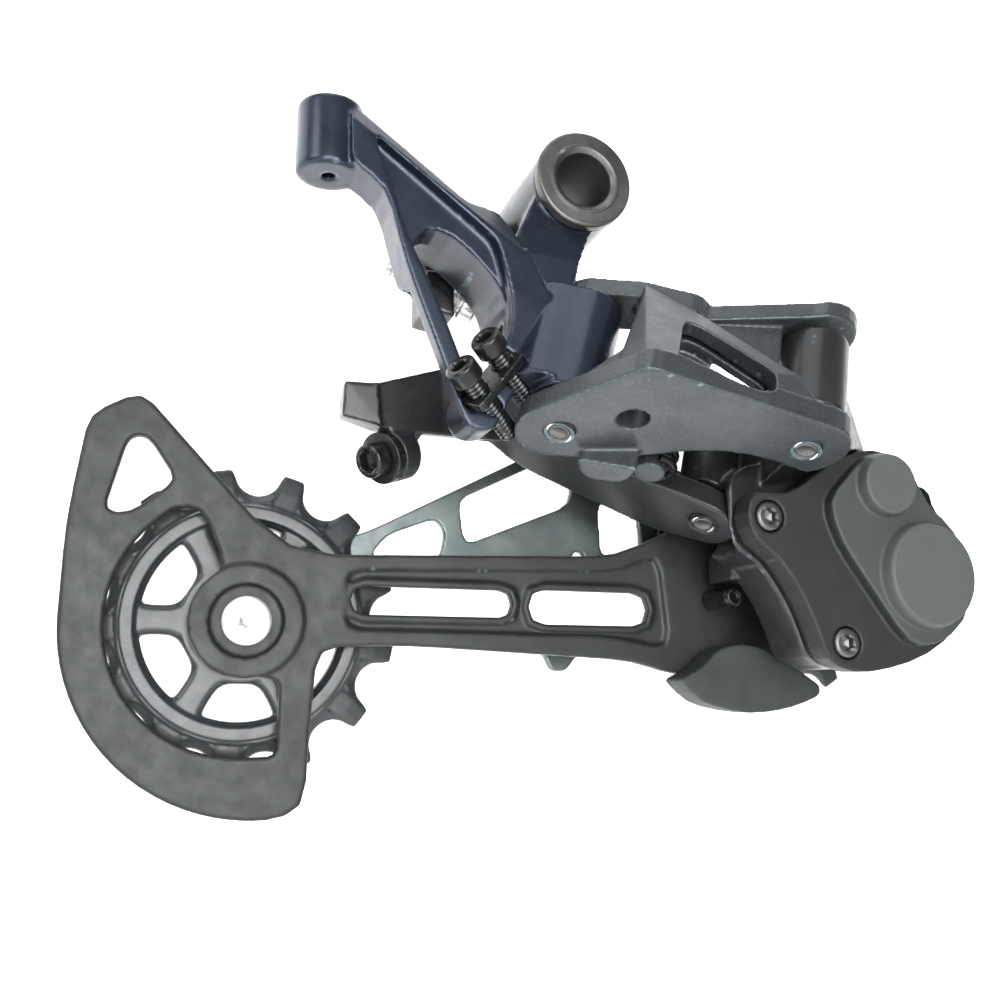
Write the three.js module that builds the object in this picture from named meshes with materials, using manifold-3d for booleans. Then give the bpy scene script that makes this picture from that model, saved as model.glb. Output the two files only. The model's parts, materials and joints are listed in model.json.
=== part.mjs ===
// A long-cage rear bicycle derailleur with a friction clutch, in millimetres.
//
// Frame: +X points to the front of the bicycle, +Y inboard (towards the wheel) and +Z up.
// The origin is on the hanger bolt's axis, in the plane where the bracket meets the hanger.
// Each moving body is a THREE.Group, and each physical piece is one named mesh in it.

import * as THREE from 'three';
import Module from 'manifold-3d';
import { ConvexGeometry } from 'three/addons/geometries/ConvexGeometry.js';
import { mergeVertices } from 'three/addons/utils/BufferGeometryUtils.js';

const wasm = await Module();
wasm.setup();

// ---------------------------------------------------------------- driving dimensions

const GAP = 0.3;                      // clearance between neighbouring cut faces
const RUN = 0.07;                     // radial clearance of a running fit

const COARSE = 12;                    // facets round a small turned surface
const MEDIUM = 16;
const FINE = 20;
const SMOOTH = 24;                    // facets round a large running fit

// Axes parallel to Y, as [x, z]
const HANGER = [7, -3.8];
const B_AXLE = [27.2, 6.8];
const P_AXLE = [91.8, -67.7];
const GUIDE = [82.7, -63.0];
const TENSION = [-30.0, -76.8];
const STOP_PIN = [63.9, -70.6];
const LEVER_PIVOT = [99.6, -51.4];
const COVER_BOLTS = [[59.9, -57.6], [75.2, -80.4]];
const SMALL_BOSS = [83.6, -50.9];

// Pulleys
const CHAIN_PITCH = 12.7;
const ROLLER_RADIUS = 3.97;
const TEETH = 13;
const PITCH_RADIUS = CHAIN_PITCH / 2 / Math.sin(Math.PI / TEETH);
const TIP_RADIUS = 28.7;
const TOOTH_SHOULDER_RADIUS = 27.4;
const PULLEY_Y = -1.6;                // middle plane of both pulleys
const TOOTH_WIDTH = 2.2;
const HUB_WIDTH = 5.6;
const WINDOW_COUNT = 6;
const SLEEVE_RADIUS = 4;
const SLEEVE_BORE = 2.6;
const SLEEVE_HALF = 3.6;

// Cage, with plates as [outboard face, inboard face]
const OUTER_PLATE = [-8.1, -5.6];
const INNER_PLATE = [2.4, 4.2];
const CAGE_HUB_RADIUS = 13;
const GUARD_RADIUS = 34.5;
const STOP_PIN_TIP_Y = -17.4;

// B-axle and bracket
const AXLE_RING_RADIUS = 9.6;
const AXLE_BORE_RADIUS = 5.4;
const AXLE_SHANK_RADIUS = 7.2;
const AXLE_FACE_Y = -30;
const BUSH_WALL = 1;
const BARREL_RADIUS = 9.3;
const BARREL_Y = [-27.2, -5];
const LINK_PLATE = [-4.2, 0];
const B_SCREW_HEAD = [11.4, -10.4, -14.3];
const B_SCREW_TIP = [-6.8, -10.4, -7.8];
const B_SCREW_TAB_X = [0.8, 6.6];

// B-knuckle
const KNUCKLE_FACES = [-33.2, -23.6];
const STRUT_RELIEF_Y = -29.6;         // the strut is thinner where the cable arm passes it
const HOOD_BACK_Y = -15;
const HOUSING_STOP = [-20.9, -26.6];  // [x, y] of the vertical seat for the cable housing
const HOUSING_STOP_Z = [0.3, 13.4];
const HOUSING_SEAT_RADIUS = 3.1;
const LIMIT_SCREW_AXIS = [0.706, 0.49, -0.515];
const LIMIT_SCREWS = { limit_screw_top: [4.4, -37.6, -30], limit_screw_low: [0.15, -37.25, -35.4] };
const LIMIT_SCREW_LENGTH = 17.5;
const LIMIT_SCREW_RADIUS = 1.9;
const STOP_PLATE_DEPTH = [6.4, 8];    // along the limit screws

// Linkage: the four pins are parallel, and the pin frame's origin is the head of the outer
// link's pin in the B-knuckle. In it u runs along the outer link, v inboard and p up the pins.
const PIN_ORIGIN = new THREE.Vector3(18.4, -36.6, -45.3);
const PIN_AXIS = new THREE.Vector3(0.33, 0.28, 0.901).normalize();
const LINK_DIRECTION = new THREE.Vector3(0.923, -0.294, -0.247);
const LINK_LENGTH = 42.9;
const INNER_OFFSET = [-11.3, 23.1];   // from each outer pin to the inner pin beside it
const OUTER_B = [0, 0];
const OUTER_P = [LINK_LENGTH, 0];
const INNER_B = INNER_OFFSET;
const INNER_P = [LINK_LENGTH + INNER_OFFSET[0], INNER_OFFSET[1]];
const SWING = 34;                     // degrees from the smallest sprocket to the largest
const SWING_REACH = 60;
const ARM_REACH = 36;
const FLANGE_GAP = 0.9;               // room over a sloping flange, which tilts as it swings
const ROOF_GAP = 1.2;
const PIN_RADIUS = 2.6;
const PIN_SEAT = PIN_RADIUS + 0.02;
const BUSH_SEAT = PIN_RADIUS + BUSH_WALL;
const LOBE_RADIUS = 7.6;
const UPPER_LOBE_RADIUS = 4.6;
const LUG_RADIUS = 6.2;
const BARREL_OUTER_RADIUS = 6.4;
const BARREL_INNER_RADIUS = 5.7;
// Heights along the pins of the barrels that turn on them
const BARREL_OUTER_B = [5.6, 28.8];
const BARREL_OUTER_P = [15.3, 33.8];
const BARREL_INNER_B = [19.8, 35];
const BARREL_INNER_P = [10.2, 30];
// Flanges, as heights at u = 0 and the rise for each millimetre of u
const OUTER_FLANGE = [0, 4.6];
const OUTER_FLANGE_SLOPE = 0.219;
const OUTER_ROOF = [22.2, 26];
const OUTER_ROOF_SLOPE = 0.3;
const INNER_FLANGE = [11.6, 16.2];
const INNER_FLANGE_SLOPE = -0.23;
const INNER_TOP = [34, 37.4];
const INNER_TOP_SLOPE = -0.117;
const LINK_HOLE = [11.5, -5];
const RETURN_SPRING = { centre: [18, 11], radius: 4.3, wire: 0.7, heights: [4.6, 20] };
const SPRING_POST_RADIUS = 3;

// Cable clamp on the inner link's arm
const CLAMP_AXIS = [0.8, 0.5, 0.33];
const CLAMP_HEAD = [-10.4, -14.2, -47.8];
const CLAMP_BOSS = [5.6, 9.8];        // along the clamp's axis
const CLAMP_BOLT_LENGTH = 9.2;

// P-knuckle and clutch
const KNUCKLE_TOP_Y = -30.9;
const KNUCKLE_FLOOR_Y = -20.5;
const GASKET_Y = [-31.6, -31.2];
const COVER_SEAT_Y = -31.9;
const COVER_RIM_Y = -36.6;
const COVER_DOME_Y = -39.2;
const COVER_RECESS = 2.2;
const CUP_RADIUS = 13.6;
const CUP_FACE_Y = -9.2;
const SPRING_ROOM_RADIUS = 10;
const CAGE_SPRING = { radius: 7.9, wire: 1, from: -29, to: -12.4 };
const P_AXLE_RADIUS = 5.2;
const P_BORE_RADIUS = 6.2;
const CLUTCH_ROOM_RADIUS = 10.2;
const COVER_ROOM_RADIUS = 8.9;
const BAND_RADIUS = [7.8, 8.6];

const COVER_OUTLINE = [
  [54.8, -57, 3], [57, -52.6, 3], [64, -53.4, 3], [74, -46.6, 4], [80, -43.6, 4], [87.4, -43.2, 5],
  [92.4, -47.5, 4], [94.4, -52.5, 3], [101, -57.5, 6], [104.4, -68, 10], [101.5, -77, 8],
  [93.5, -82.5, 6], [84, -85.2, 5], [76, -86, 4], [70.5, -83.5, 4], [69.4, -79.5, 3],
  [66.5, -72.5, 3], [61.5, -65, 4], [56.5, -62.2, 3],
];

// ---------------------------------------------------------------- materials

const finish = (color, roughness, metalness) =>
  new THREE.MeshStandardMaterial({ color, roughness, metalness });

const materials = {
  knuckle_blue: finish(0x2c3644, 0.38, 0.75),
  link_grey: finish(0x5c6669, 0.45, 0.7),
  black_satin: finish(0x17191c, 0.42, 0.5),
  cage_black: finish(0x37393a, 0.55, 0.6),
  inner_grey: finish(0x6d7a77, 0.4, 0.8),
  cover_charcoal: finish(0x3a3b3c, 0.7, 0.1),
  bumper_charcoal: finish(0x2b2d2e, 0.8, 0.0),
  pulley_black: finish(0x1d1f21, 0.4, 0.0),
  axle_steel: finish(0x60605e, 0.4, 0.9),
  screw_steel: finish(0x34373a, 0.35, 0.9),
  bright_steel: finish(0xc8cacb, 0.25, 1.0),
  bronze_bush: finish(0x8a6a3a, 0.5, 0.8),
  spring_steel: finish(0x2a2b2d, 0.35, 0.9),
  seal_rubber: finish(0x141414, 0.9, 0.0),
};

// ---------------------------------------------------------------- frames

function frame(x, y, z, origin = [0, 0, 0]) {
  return new THREE.Matrix4().makeBasis(x, y, z).setPosition(...origin);
}

const AXIS_X = new THREE.Vector3(1, 0, 0);
const AXIS_Z = new THREE.Vector3(0, 0, 1);
const OUTBOARD = new THREE.Vector3(0, -1, 0);

const WORLD = new THREE.Matrix4();
// In the side frame, local x and y are the bicycle's X and Z, and local z points outboard.
const SIDE = frame(AXIS_X, AXIS_Z, OUTBOARD);

const linkU = LINK_DIRECTION.clone();
linkU.addScaledVector(PIN_AXIS, -LINK_DIRECTION.dot(PIN_AXIS)).normalize();
const linkV = PIN_AXIS.clone().cross(linkU);
const PIN = frame(linkU, linkV, PIN_AXIS, PIN_ORIGIN.toArray());
// The pin frame turned so that its local z runs inboard, for openings through a link's web
const WEB = frame(linkU, PIN_AXIS.clone().negate(), linkV, PIN_ORIGIN.toArray());

// Shear of the pin frame that lets a flange climb along u, from its height at one u.
function sloped(slope, from = 0) {
  const shear = new THREE.Matrix4();
  shear.set(1, 0, 0, 0, 0, 1, 0, 0, slope, 0, 1, -slope * from, 0, 0, 0, 1);
  return PIN.clone().multiply(shear);
}

const moved = (start, step, distance) => start.map((value, i) => value + step[i] * distance);

// A frame whose local z runs from a point along a direction.
function aimed(start, direction) {
  const z = new THREE.Vector3(...direction).normalize();
  const helper = Math.abs(z.z) < 0.9 ? AXIS_Z : AXIS_X;
  const x = helper.clone().cross(z).normalize();
  return frame(x, z.clone().cross(x), z, start);
}

const bScrewSpan = new THREE.Vector3(...B_SCREW_TIP).sub(new THREE.Vector3(...B_SCREW_HEAD));
const B_SCREW = aimed(B_SCREW_HEAD, bScrewSpan.toArray());
const CLAMP = aimed(CLAMP_HEAD, CLAMP_AXIS);
const limitFrame = start => aimed(start, LIMIT_SCREW_AXIS);

// ---------------------------------------------------------------- solids

function solid(geometry, matrix = WORLD) {
  const bare = geometry.clone();
  bare.deleteAttribute('normal');
  bare.deleteAttribute('uv');
  bare.applyMatrix4(matrix);
  const merged = mergeVertices(bare, 1e-4);
  const vertProperties = new Float32Array(merged.attributes.position.array);
  const triVerts = new Uint32Array(merged.index.array);
  return new wasm.Manifold(new wasm.Mesh({ numProp: 3, vertProperties, triVerts }));
}

const join = (...solids) => solids.reduce((sum, next) => sum.add(next));
const cut = (body, ...tools) => tools.reduce((left, tool) => left.subtract(tool), body);

// A closed outline from corners [x, y, rounding]; the rounding eats that length of each side.
function outline(corners) {
  const path = new THREE.Shape();
  const count = corners.length;
  corners.forEach(([x, y, rounding = 0], i) => {
    const here = new THREE.Vector2(x, y);
    const before = new THREE.Vector2(...corners[(i + count - 1) % count].slice(0, 2));
    const after = new THREE.Vector2(...corners[(i + 1) % count].slice(0, 2));
    const reachIn = Math.min(rounding, here.distanceTo(before) * 0.49);
    const reachOut = Math.min(rounding, here.distanceTo(after) * 0.49);
    const start = here.clone().add(before.sub(here).setLength(reachIn));
    const end = here.clone().add(after.sub(here).setLength(reachOut));
    if (i === 0) path.moveTo(start.x, start.y);
    else path.lineTo(start.x, start.y);
    if (rounding > 0) path.quadraticCurveTo(x, y, end.x, end.y);
  });
  path.closePath();
  return path;
}

// Corners on an arc, angles in degrees.
function arc([x, y], radius, from, to, steps) {
  return Array.from({ length: steps + 1 }, (_, i) => {
    const angle = THREE.MathUtils.degToRad(from + (to - from) * i / steps);
    return [x + radius * Math.cos(angle), y + radius * Math.sin(angle)];
  });
}

// The same corners moved away from a centre by a factor.
const scaled = (corners, [x, y], factor) =>
  corners.map(([cx, cy, rounding]) => [x + (cx - x) * factor, y + (cy - y) * factor, rounding]);

// A shape extruded from height low to height high along the frame's z.
function slab(shape, matrix, low, high) {
  const geometry = new THREE.ExtrudeGeometry(shape, {
    depth: high - low, bevelEnabled: false, curveSegments: 2,
  });
  geometry.translate(0, 0, low);
  return solid(geometry, matrix);
}

// The same between two Y planes, for a shape drawn in the side view.
const sideSlab = (shape, outboard, inboard) => slab(shape, SIDE, -inboard, -outboard);

// A turned piece: profile points are [radius, height] along the frame's z at (x, y).
function turned(profile, matrix, [x, y] = [0, 0], facets = FINE) {
  const points = profile.map(([radius, height]) => new THREE.Vector2(radius, height));
  if (THREE.ShapeUtils.area(points) < 0) points.reverse();
  const geometry = new THREE.LatheGeometry(points, facets);
  geometry.rotateX(Math.PI / 2);
  geometry.translate(x, y, 0);
  return solid(geometry, matrix);
}

function rod(matrix, [x, y], low, high, radius, facets = COARSE) {
  const geometry = new THREE.CylinderGeometry(radius, radius, high - low, facets);
  geometry.rotateX(Math.PI / 2);
  geometry.translate(x, y, (low + high) / 2);
  return solid(geometry, matrix);
}

// A rod parallel to Y between two Y planes.
const sideRod = (centre, outboard, inboard, radius, facets = COARSE) =>
  rod(SIDE, centre, -inboard, -outboard, radius, facets);

const pinRod = (centre, [low, high], radius, facets = MEDIUM) =>
  rod(PIN, centre, low, high, radius, facets);

function ring(matrix, centre, low, high, outer, inner, facets = COARSE) {
  const shell = rod(matrix, centre, low, high, outer, facets);
  return shell.subtract(rod(matrix, centre, low - 1, high + 1, inner, facets));
}

const sideRing = (centre, outboard, inboard, outer, inner, facets = COARSE) =>
  ring(SIDE, centre, -inboard, -outboard, outer, inner, facets);

// A convex casting block through its corner points.
function block(points, matrix = WORLD) {
  return solid(new ConvexGeometry(points.map(point => new THREE.Vector3(...point))), matrix);
}

// The block between two copies of a wall's corners, the second moved by an offset.
const wall = (points, offset, matrix) =>
  block([...points, ...points.map(point => moved(point, offset, 1))], matrix);

// A coil spring of round wire about the frame's z.
function coil(matrix, [x, y], low, high, radius, wire, turns) {
  const steps = turns * 8;
  const points = Array.from({ length: steps + 1 }, (_, i) => {
    const angle = 2 * Math.PI * turns * i / steps;
    const height = low + wire + (high - low - 2 * wire) * i / steps;
    return new THREE.Vector3(x + radius * Math.cos(angle), y + radius * Math.sin(angle), height);
  });
  const section = outline(arc([0, 0], wire, 0, 288, 4));
  const geometry = new THREE.ExtrudeGeometry(section, {
    extrudePath: new THREE.CatmullRomCurve3(points), steps, bevelEnabled: false,
  });
  return solid(geometry, matrix);
}

// A socket-head screw: the head's face is at the frame's origin, and the shank runs along +z.
function socketScrew(matrix, { head, headLength, shank, length, hex, facets = COARSE }) {
  const body = turned([
    [0, 0], [head * 0.86, 0], [head, head * 0.14], [head, headLength],
    [shank, headLength], [shank, length - 0.5], [shank - 0.5, length], [0, length],
  ], matrix, [0, 0], facets);
  return body.subtract(rod(matrix, [0, 0], -1, headLength * 0.75, hex / Math.sqrt(3), 6));
}

// A link pin, chamfered at its visible end.
function pin(centre, low, high) {
  return turned([
    [0, low], [PIN_RADIUS - 0.3, low], [PIN_RADIUS, low + 0.3], [PIN_RADIUS, high], [0, high],
  ], PIN, centre, MEDIUM);
}

function bush(centre, [low, high]) {
  return ring(PIN, centre, low, high, BUSH_SEAT - RUN, PIN_RADIUS + RUN, MEDIUM);
}

// Where a link's flange reaches as it swings about its pin, between two directions.
function sweepOutline([x, y], radius, [first, last], length = SWING_REACH) {
  const corners = arc([x, y], radius, last + 90, first + 270, 7);
  const ends = [[first, -90], [first, 0], [last, 0], [last, 90]];
  for (const [direction, side] of ends) {
    const along = THREE.MathUtils.degToRad(direction);
    const across = THREE.MathUtils.degToRad(direction + side);
    const reach = side === 0 ? length * 1.08 : length;
    const offset = side === 0 ? 0 : radius;
    corners.push([
      x + reach * Math.cos(along) + offset * Math.cos(across),
      y + reach * Math.sin(along) + offset * Math.sin(across),
    ]);
  }
  return outline(corners);
}

// ---------------------------------------------------------------- cage

function slotOutline([left, right, low, high], margin = 0) {
  const rounding = (high - low) / 2 + margin;
  return outline([
    [left - margin, high + margin, rounding],
    [right + margin, high + margin, rounding],
    [right + margin, low - margin, rounding],
    [left - margin, low - margin, rounding],
  ]);
}

function cageOuterPlate() {
  const [outboard, inboard] = OUTER_PLATE;
  const through = shape => sideSlab(shape, outboard - 1, inboard + 1);
  const guardCentre = [TENSION[0] + 3.5, TENSION[1] + 0.2];
  const shape = outline([
    [-58.4, -41.2, 3], [-49.9, -36.2, 3], [-23.4, -64.6, 9], [42.5, -62.3, 6], [61, -53.5, 6],
    [82, -50.5, 8], ...arc(P_AXLE, CAGE_HUB_RADIUS, 55, -70, 10), [80, -82.6, 6], [57, -86.6, 5],
    [46, -83.2, 5], [0, -80.8, 6], [-17.2, -81.2, 4], [-18.2, -96, 3], [-18.6, -109.8, 5],
    ...arc(guardCentre, GUARD_RADIUS, 272, 180, 20), [-60.8, -60, 6],
  ]);
  const armHollow = outline([
    [-12.5, -67, 3], [44, -65.2, 5], [52, -61, 4], [54, -81, 4], [42, -78.4, 5], [-12.5, -78, 3],
  ]);
  const guardHole = outline([
    [-51.5, -44.6, 2], [-54.9, -58.4, 2.2], [-50.6, -58.4, 2.2], [-43.2, -52, 2], [-48.5, -44.2, 2],
  ]);
  const crescent = outline([
    ...arc(TENSION, 23.7, 124, 272, 20), [-23.8, -100.4, 1.5], [-23.8, -87, 1.5],
    ...arc(TENSION, 9.6, 255, 140, 10), [-33.9, -67.4, 3], [-38.6, -56.4, 3.5],
  ]);
  const slotBoxes = [[-11.4, 20.2, -75.2, -69.9], [23.6, 49.6, -76.3, -69.6]];
  let plate = sideSlab(shape, outboard, inboard);
  plate = cut(plate, sideSlab(armHollow, outboard - 1, outboard + 0.8));
  plate = cut(plate, through(guardHole), through(crescent));
  for (const box of slotBoxes) {
    plate = plate.add(sideSlab(slotOutline(box, 1.3), outboard + 0.1, outboard + 1.2));
    plate = cut(plate, through(slotOutline(box)));
  }
  plate = plate.add(sideRod(TENSION, outboard - 0.5, inboard, 10.1, FINE));
  plate = plate.add(sideRod(P_AXLE, outboard - 0.4, inboard, 9.5, FINE));
  return cut(
    plate,
    sideRod(TENSION, outboard - 2, outboard + 0.7, 6.6, FINE),
    sideRod(TENSION, outboard - 2, inboard + 1, 2.6),
    sideRod(P_AXLE, outboard - 2, inboard + 1, 4.2, FINE),
    sideRod(GUIDE, outboard - 2, inboard + 1, 2.2),
    sideRod(STOP_PIN, outboard - 2, inboard + 1, 1.5),
  );
}

function cageInnerPlate() {
  const [outboard, inboard] = INNER_PLATE;
  const shape = outline([
    ...arc(TENSION, 10.5, 250, 105, 6), [-6.7, -58.2, 3], [30.2, -38.8, 4], [50, -37, 8],
    [72, -43.5, 8], ...arc(P_AXLE, 12, 70, -70, 6), [78, -82.5, 5], [38, -82, 1], [35.5, -85.2, 1],
    [32.2, -85.2, 1], [30.6, -81.6, 1], [0, -80, 6], [-22, -80.5, 3],
  ]);
  const windows = [
    [[12.2, -50.6, 2], [32.6, -40.4, 2.5], [37.4, -42.8, 2.5], [37.2, -50.2, 3], [13.4, -60, 2.5]],
    [[-6, -63, 1.5], [-2.6, -58.6, 2], [7.6, -54.6, 2], [9.4, -57.4, 1.5], [8.4, -62.8, 1.5]],
    [[43.4, -49.4, 2], [53, -48.8, 2.5], [53.4, -60, 2], [43.8, -61, 2]],
    [[-15.5, -68, 2.5], [14, -65.6, 3], [54, -67, 3], [56, -77, 3], [-15, -76.4, 2.5]],
  ];
  const through = (centre, radius) => sideRod(centre, outboard - 1, inboard + 1, radius);
  let plate = sideSlab(shape, outboard, inboard);
  for (const window of windows) {
    plate = cut(plate, sideSlab(outline(window), outboard - 1, inboard + 1));
  }
  return cut(plate, through([38.6, -61.6], 1.4), through(TENSION, 2.2), through(GUIDE, 2.6));
}

// Roller seats joined by teeth that narrow outwards.
function toothedOutline() {
  const points = [];
  const step = 360 / TEETH;
  for (let tooth = 0; tooth < TEETH; tooth += 1) {
    const [[seatX, seatY]] = arc([0, 0], PITCH_RADIUS, step * tooth, 0, 1);
    const facing = step * tooth + 180;
    points.push(...arc([seatX, seatY], ROLLER_RADIUS, facing + 84, facing - 84, 2));
    const middle = step * (tooth + 0.5);
    points.push(...arc([0, 0], TOOTH_SHOULDER_RADIUS, middle - 3.2, middle - 3.2, 1).slice(1));
    points.push(...arc([0, 0], TIP_RADIUS, middle - 1.4, middle + 1.4, 1));
    points.push(...arc([0, 0], TOOTH_SHOULDER_RADIUS, middle + 3.2, middle + 3.2, 1).slice(1));
  }
  return outline(points);
}

function pulley([x, z], turn) {
  const spin = THREE.MathUtils.degToRad(turn);
  const matrix = frame(
    new THREE.Vector3(Math.cos(spin), 0, Math.sin(spin)),
    new THREE.Vector3(-Math.sin(spin), 0, Math.cos(spin)),
    OUTBOARD, [x, PULLEY_Y, z],
  );
  let wheel = join(
    slab(toothedOutline(), matrix, -TOOTH_WIDTH / 2, TOOTH_WIDTH / 2),
    ring(matrix, [0, 0], -2.1, 2.1, 21.6, 18.6, FINE),
    rod(matrix, [0, 0], -1.6, 1.6, 11, FINE),
    rod(matrix, [0, 0], -HUB_WIDTH / 2, HUB_WIDTH / 2, 7.4, FINE),
  );
  for (let k = 0; k < WINDOW_COUNT; k += 1) {
    const start = 360 / WINDOW_COUNT * k + 8.3;
    const window = outline([
      ...arc([0, 0], 18.4, start, start + 36, 2), ...arc([0, 0], 11.3, start + 29, start + 7, 1),
    ]);
    wheel = cut(wheel, slab(window, matrix, -5, 5));
  }
  return cut(wheel, rod(matrix, [0, 0], -5, 5, SLEEVE_RADIUS + RUN, FINE));
}

const sleeve = centre =>
  sideRing(centre, PULLEY_Y - SLEEVE_HALF, PULLEY_Y + SLEEVE_HALF, SLEEVE_RADIUS, SLEEVE_BORE, FINE);

// A cap that keeps dirt out of a pulley's bore, on the sleeve beside the hub.
function dustCap(centre, side) {
  const near = PULLEY_Y + side * (HUB_WIDTH / 2 + 0.3);
  const far = near + side * 0.5;
  return sideRing(centre, Math.min(near, far), Math.max(near, far), 7.2, SLEEVE_RADIUS + 0.2);
}

function tensionBolt() {
  const face = OUTER_PLATE[0] - 0.9;
  return socketScrew(aimed([TENSION[0], face, TENSION[1]], [0, 1, 0]), {
    head: 4.4, headLength: 1.5, shank: 2.1, length: INNER_PLATE[1] - face - 0.1, hex: 4, facets: FINE,
  });
}

function guideBolt() {
  const face = INNER_PLATE[1] + 2.4;
  return socketScrew(aimed([GUIDE[0], face, GUIDE[1]], [0, -1, 0]), {
    head: 4, headLength: 2.1, shank: 2.1, length: face - OUTER_PLATE[0] - 0.2, hex: 3,
  });
}

function cageBumper() {
  const [outboard] = OUTER_PLATE;
  const shape = outline([
    [52, -87, 1], [57, -91.6, 3], [67.5, -93.8, 4], [77, -92.6, 3], [84, -90.2, 1.5],
    [84.4, -88.2, 1], [73, -81, 2], [66.5, -79.8, 2], [61, -80.8, 2],
    [57, -84.6, 2],
  ]);
  const chamfer = solid(
    new THREE.BoxGeometry(60, 30, 10).translate(0, 0, -5),
    aimed([66, outboard - 9.4, -96], [0, 7.4, 5.5]),
  );
  return cut(sideSlab(shape, outboard - 7.6, outboard - GAP), chamfer);
}

function stopPin() {
  return turned([
    [0, -OUTER_PLATE[1] + 0.2], [1.44, -OUTER_PLATE[1] + 0.2], [1.44, -OUTER_PLATE[0] + GAP],
    [2.1, -OUTER_PLATE[0] + GAP], [2.1, -STOP_PIN_TIP_Y - 0.5], [1.7, -STOP_PIN_TIP_Y],
    [0, -STOP_PIN_TIP_Y],
  ], SIDE, STOP_PIN, COARSE);
}

// ---------------------------------------------------------------- bracket

function bracketLink() {
  const plate = sideSlab(outline([
    ...arc(HANGER, 8.6, 65, 285, 8), ...arc(B_AXLE, 9.6, -65, 95, 7),
  ]), ...LINK_PLATE);
  const [left, right] = B_SCREW_TAB_X;
  const tab = wall([
    [left, -12.9, -16.2], [right, -12.9, -17.2], [left, -12.9, -8.2], [right, -12.9, -8.2],
  ], [0, 12.3, 0]);
  return cut(
    plate.add(cut(tab, sideRod(HANGER, -9, LINK_PLATE[0] - 0.1, 6.6))),
    rod(B_SCREW, [0, 0], -6, 30, 2 + RUN),
    sideRod(HANGER, -14, 4, 5 + RUN),
    sideRod(B_AXLE, -12, 4, AXLE_SHANK_RADIUS + RUN, SMOOTH),
  );
}

function hangerBolt() {
  return socketScrew(aimed([HANGER[0], LINK_PLATE[0] - 3.9, HANGER[1]], [0, 1, 0]), {
    head: 5.8, headLength: 3.6, shank: 4.9, length: 14.5, hex: 5,
  });
}

function bAxle() {
  const face = -AXLE_FACE_Y;
  return turned([
    [AXLE_BORE_RADIUS, face], [6.8, face], [7, face - 0.25],
    [AXLE_RING_RADIUS - 0.4, face - 0.25], [AXLE_RING_RADIUS, face - 0.65],
    [AXLE_RING_RADIUS, face - 2.4], [AXLE_SHANK_RADIUS, face - 2.4],
    [AXLE_SHANK_RADIUS, 0.4], [AXLE_BORE_RADIUS, 0.4], [AXLE_BORE_RADIUS, face],
  ], SIDE, B_AXLE, SMOOTH);
}

// ---------------------------------------------------------------- outer link

function outerLink() {
  const plan = outline([
    ...arc(OUTER_B, LOBE_RADIUS, 80, 215, 10), [10.8, -19.4, 2.5],
    ...arc(OUTER_P, LOBE_RADIUS, -68, 70, 10), [34, 2.2, 6], [24, 2.6, 4], [12, 6.8, 5],
  ]);
  const lowerFlange = slab(plan, sloped(OUTER_FLANGE_SLOPE), ...OUTER_FLANGE);
  const front = wall([
    [6.6, -13.6, 8], [8.4, -16.4, 2], [10.8, -19, 2.6], [46, -6.9, 10.4], [38.2, -8, 18.8],
    [19.5, -6.9, 28.4], [9, -6.8, 32.4],
  ], [0, 1.8, 0.2], PIN);
  const lip = wall([
    [-3.4, -6.2, 1], [10.6, -18.7, 3], [8.4, -13.6, 12], [2, -8.4, 7.4],
  ], [1.2, 2.2, 0.2], PIN);
  const upperLobe = slab(outline([
    ...arc(OUTER_B, UPPER_LOBE_RADIUS, 60, 250, 6), [8.6, -6.8, 1], [20, -6.9, 2], [24, -2, 2],
    [12, 2, 4],
  ]), PIN, BARREL_OUTER_B[1] + 0.4, 33.2);
  const roof = slab(outline([
    ...arc(OUTER_P, LOBE_RADIUS, -110, 100, 12), [33, 3, 3], [16, 2.4, 3], [14, -5, 3],
  ]), sloped(OUTER_ROOF_SLOPE), ...OUTER_ROOF);
  const back = wall([
    [8, -4.4, 31], [20, -4.6, 30.6], [35.6, -4.4, 35], [35.6, -4.4, 20], [30, -4.4, 12],
    [16, -4.4, 8], [9, -4.4, 24],
  ], [0, 1.8, 0], PIN);
  const stopTab = slab(outline([[4.2, 4.5, 1], [15, 3, 1], [13.4, 8.6, 2], [6.2, 9.8, 2]]), PIN, -1.4, 4);
  const { centre, heights } = RETURN_SPRING;
  const springArm = slab(outline([
    [centre[0] - 5, -4, 1], [centre[0] + 6, -4, 1], ...arc(centre, 4.4, 10, 170, 4),
  ]), PIN, heights[1] + 0.4, heights[1] + 3.6);
  const springPost = pinRod(centre, [heights[0] - 0.6, heights[1] + 1], SPRING_POST_RADIUS, COARSE);
  const window = slab(outline([
    [16.6, -23.4, 2], [20, -23.2, 2], [33.8, -16.6, 2], [33.6, -10.6, 2], [28, -8.8, 2], [15.8, -8.2, 2],
  ]), WEB, -24, -2);
  return cut(
    join(lowerFlange, front, lip, upperLobe, roof, back, stopTab, springArm, springPost),
    window,
    pinRod(OUTER_B, [BARREL_OUTER_B[0] - GAP, BARREL_OUTER_B[1] + GAP], BARREL_OUTER_RADIUS + 0.5, FINE),
    pinRod(OUTER_P, [BARREL_OUTER_P[0] - GAP, BARREL_OUTER_P[1] + GAP], BARREL_OUTER_RADIUS + 0.5, FINE),
    rod(PIN, LINK_HOLE, -6, 14, 2.8),
    pinRod(OUTER_B, [-10, 60], PIN_SEAT),
    pinRod(OUTER_P, [-10, 60], PIN_SEAT),
  );
}

function returnSpring() {
  const { centre, radius, wire, heights } = RETURN_SPRING;
  return coil(PIN, centre, ...heights, radius, wire, 5);
}

// ---------------------------------------------------------------- B-knuckle

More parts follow.
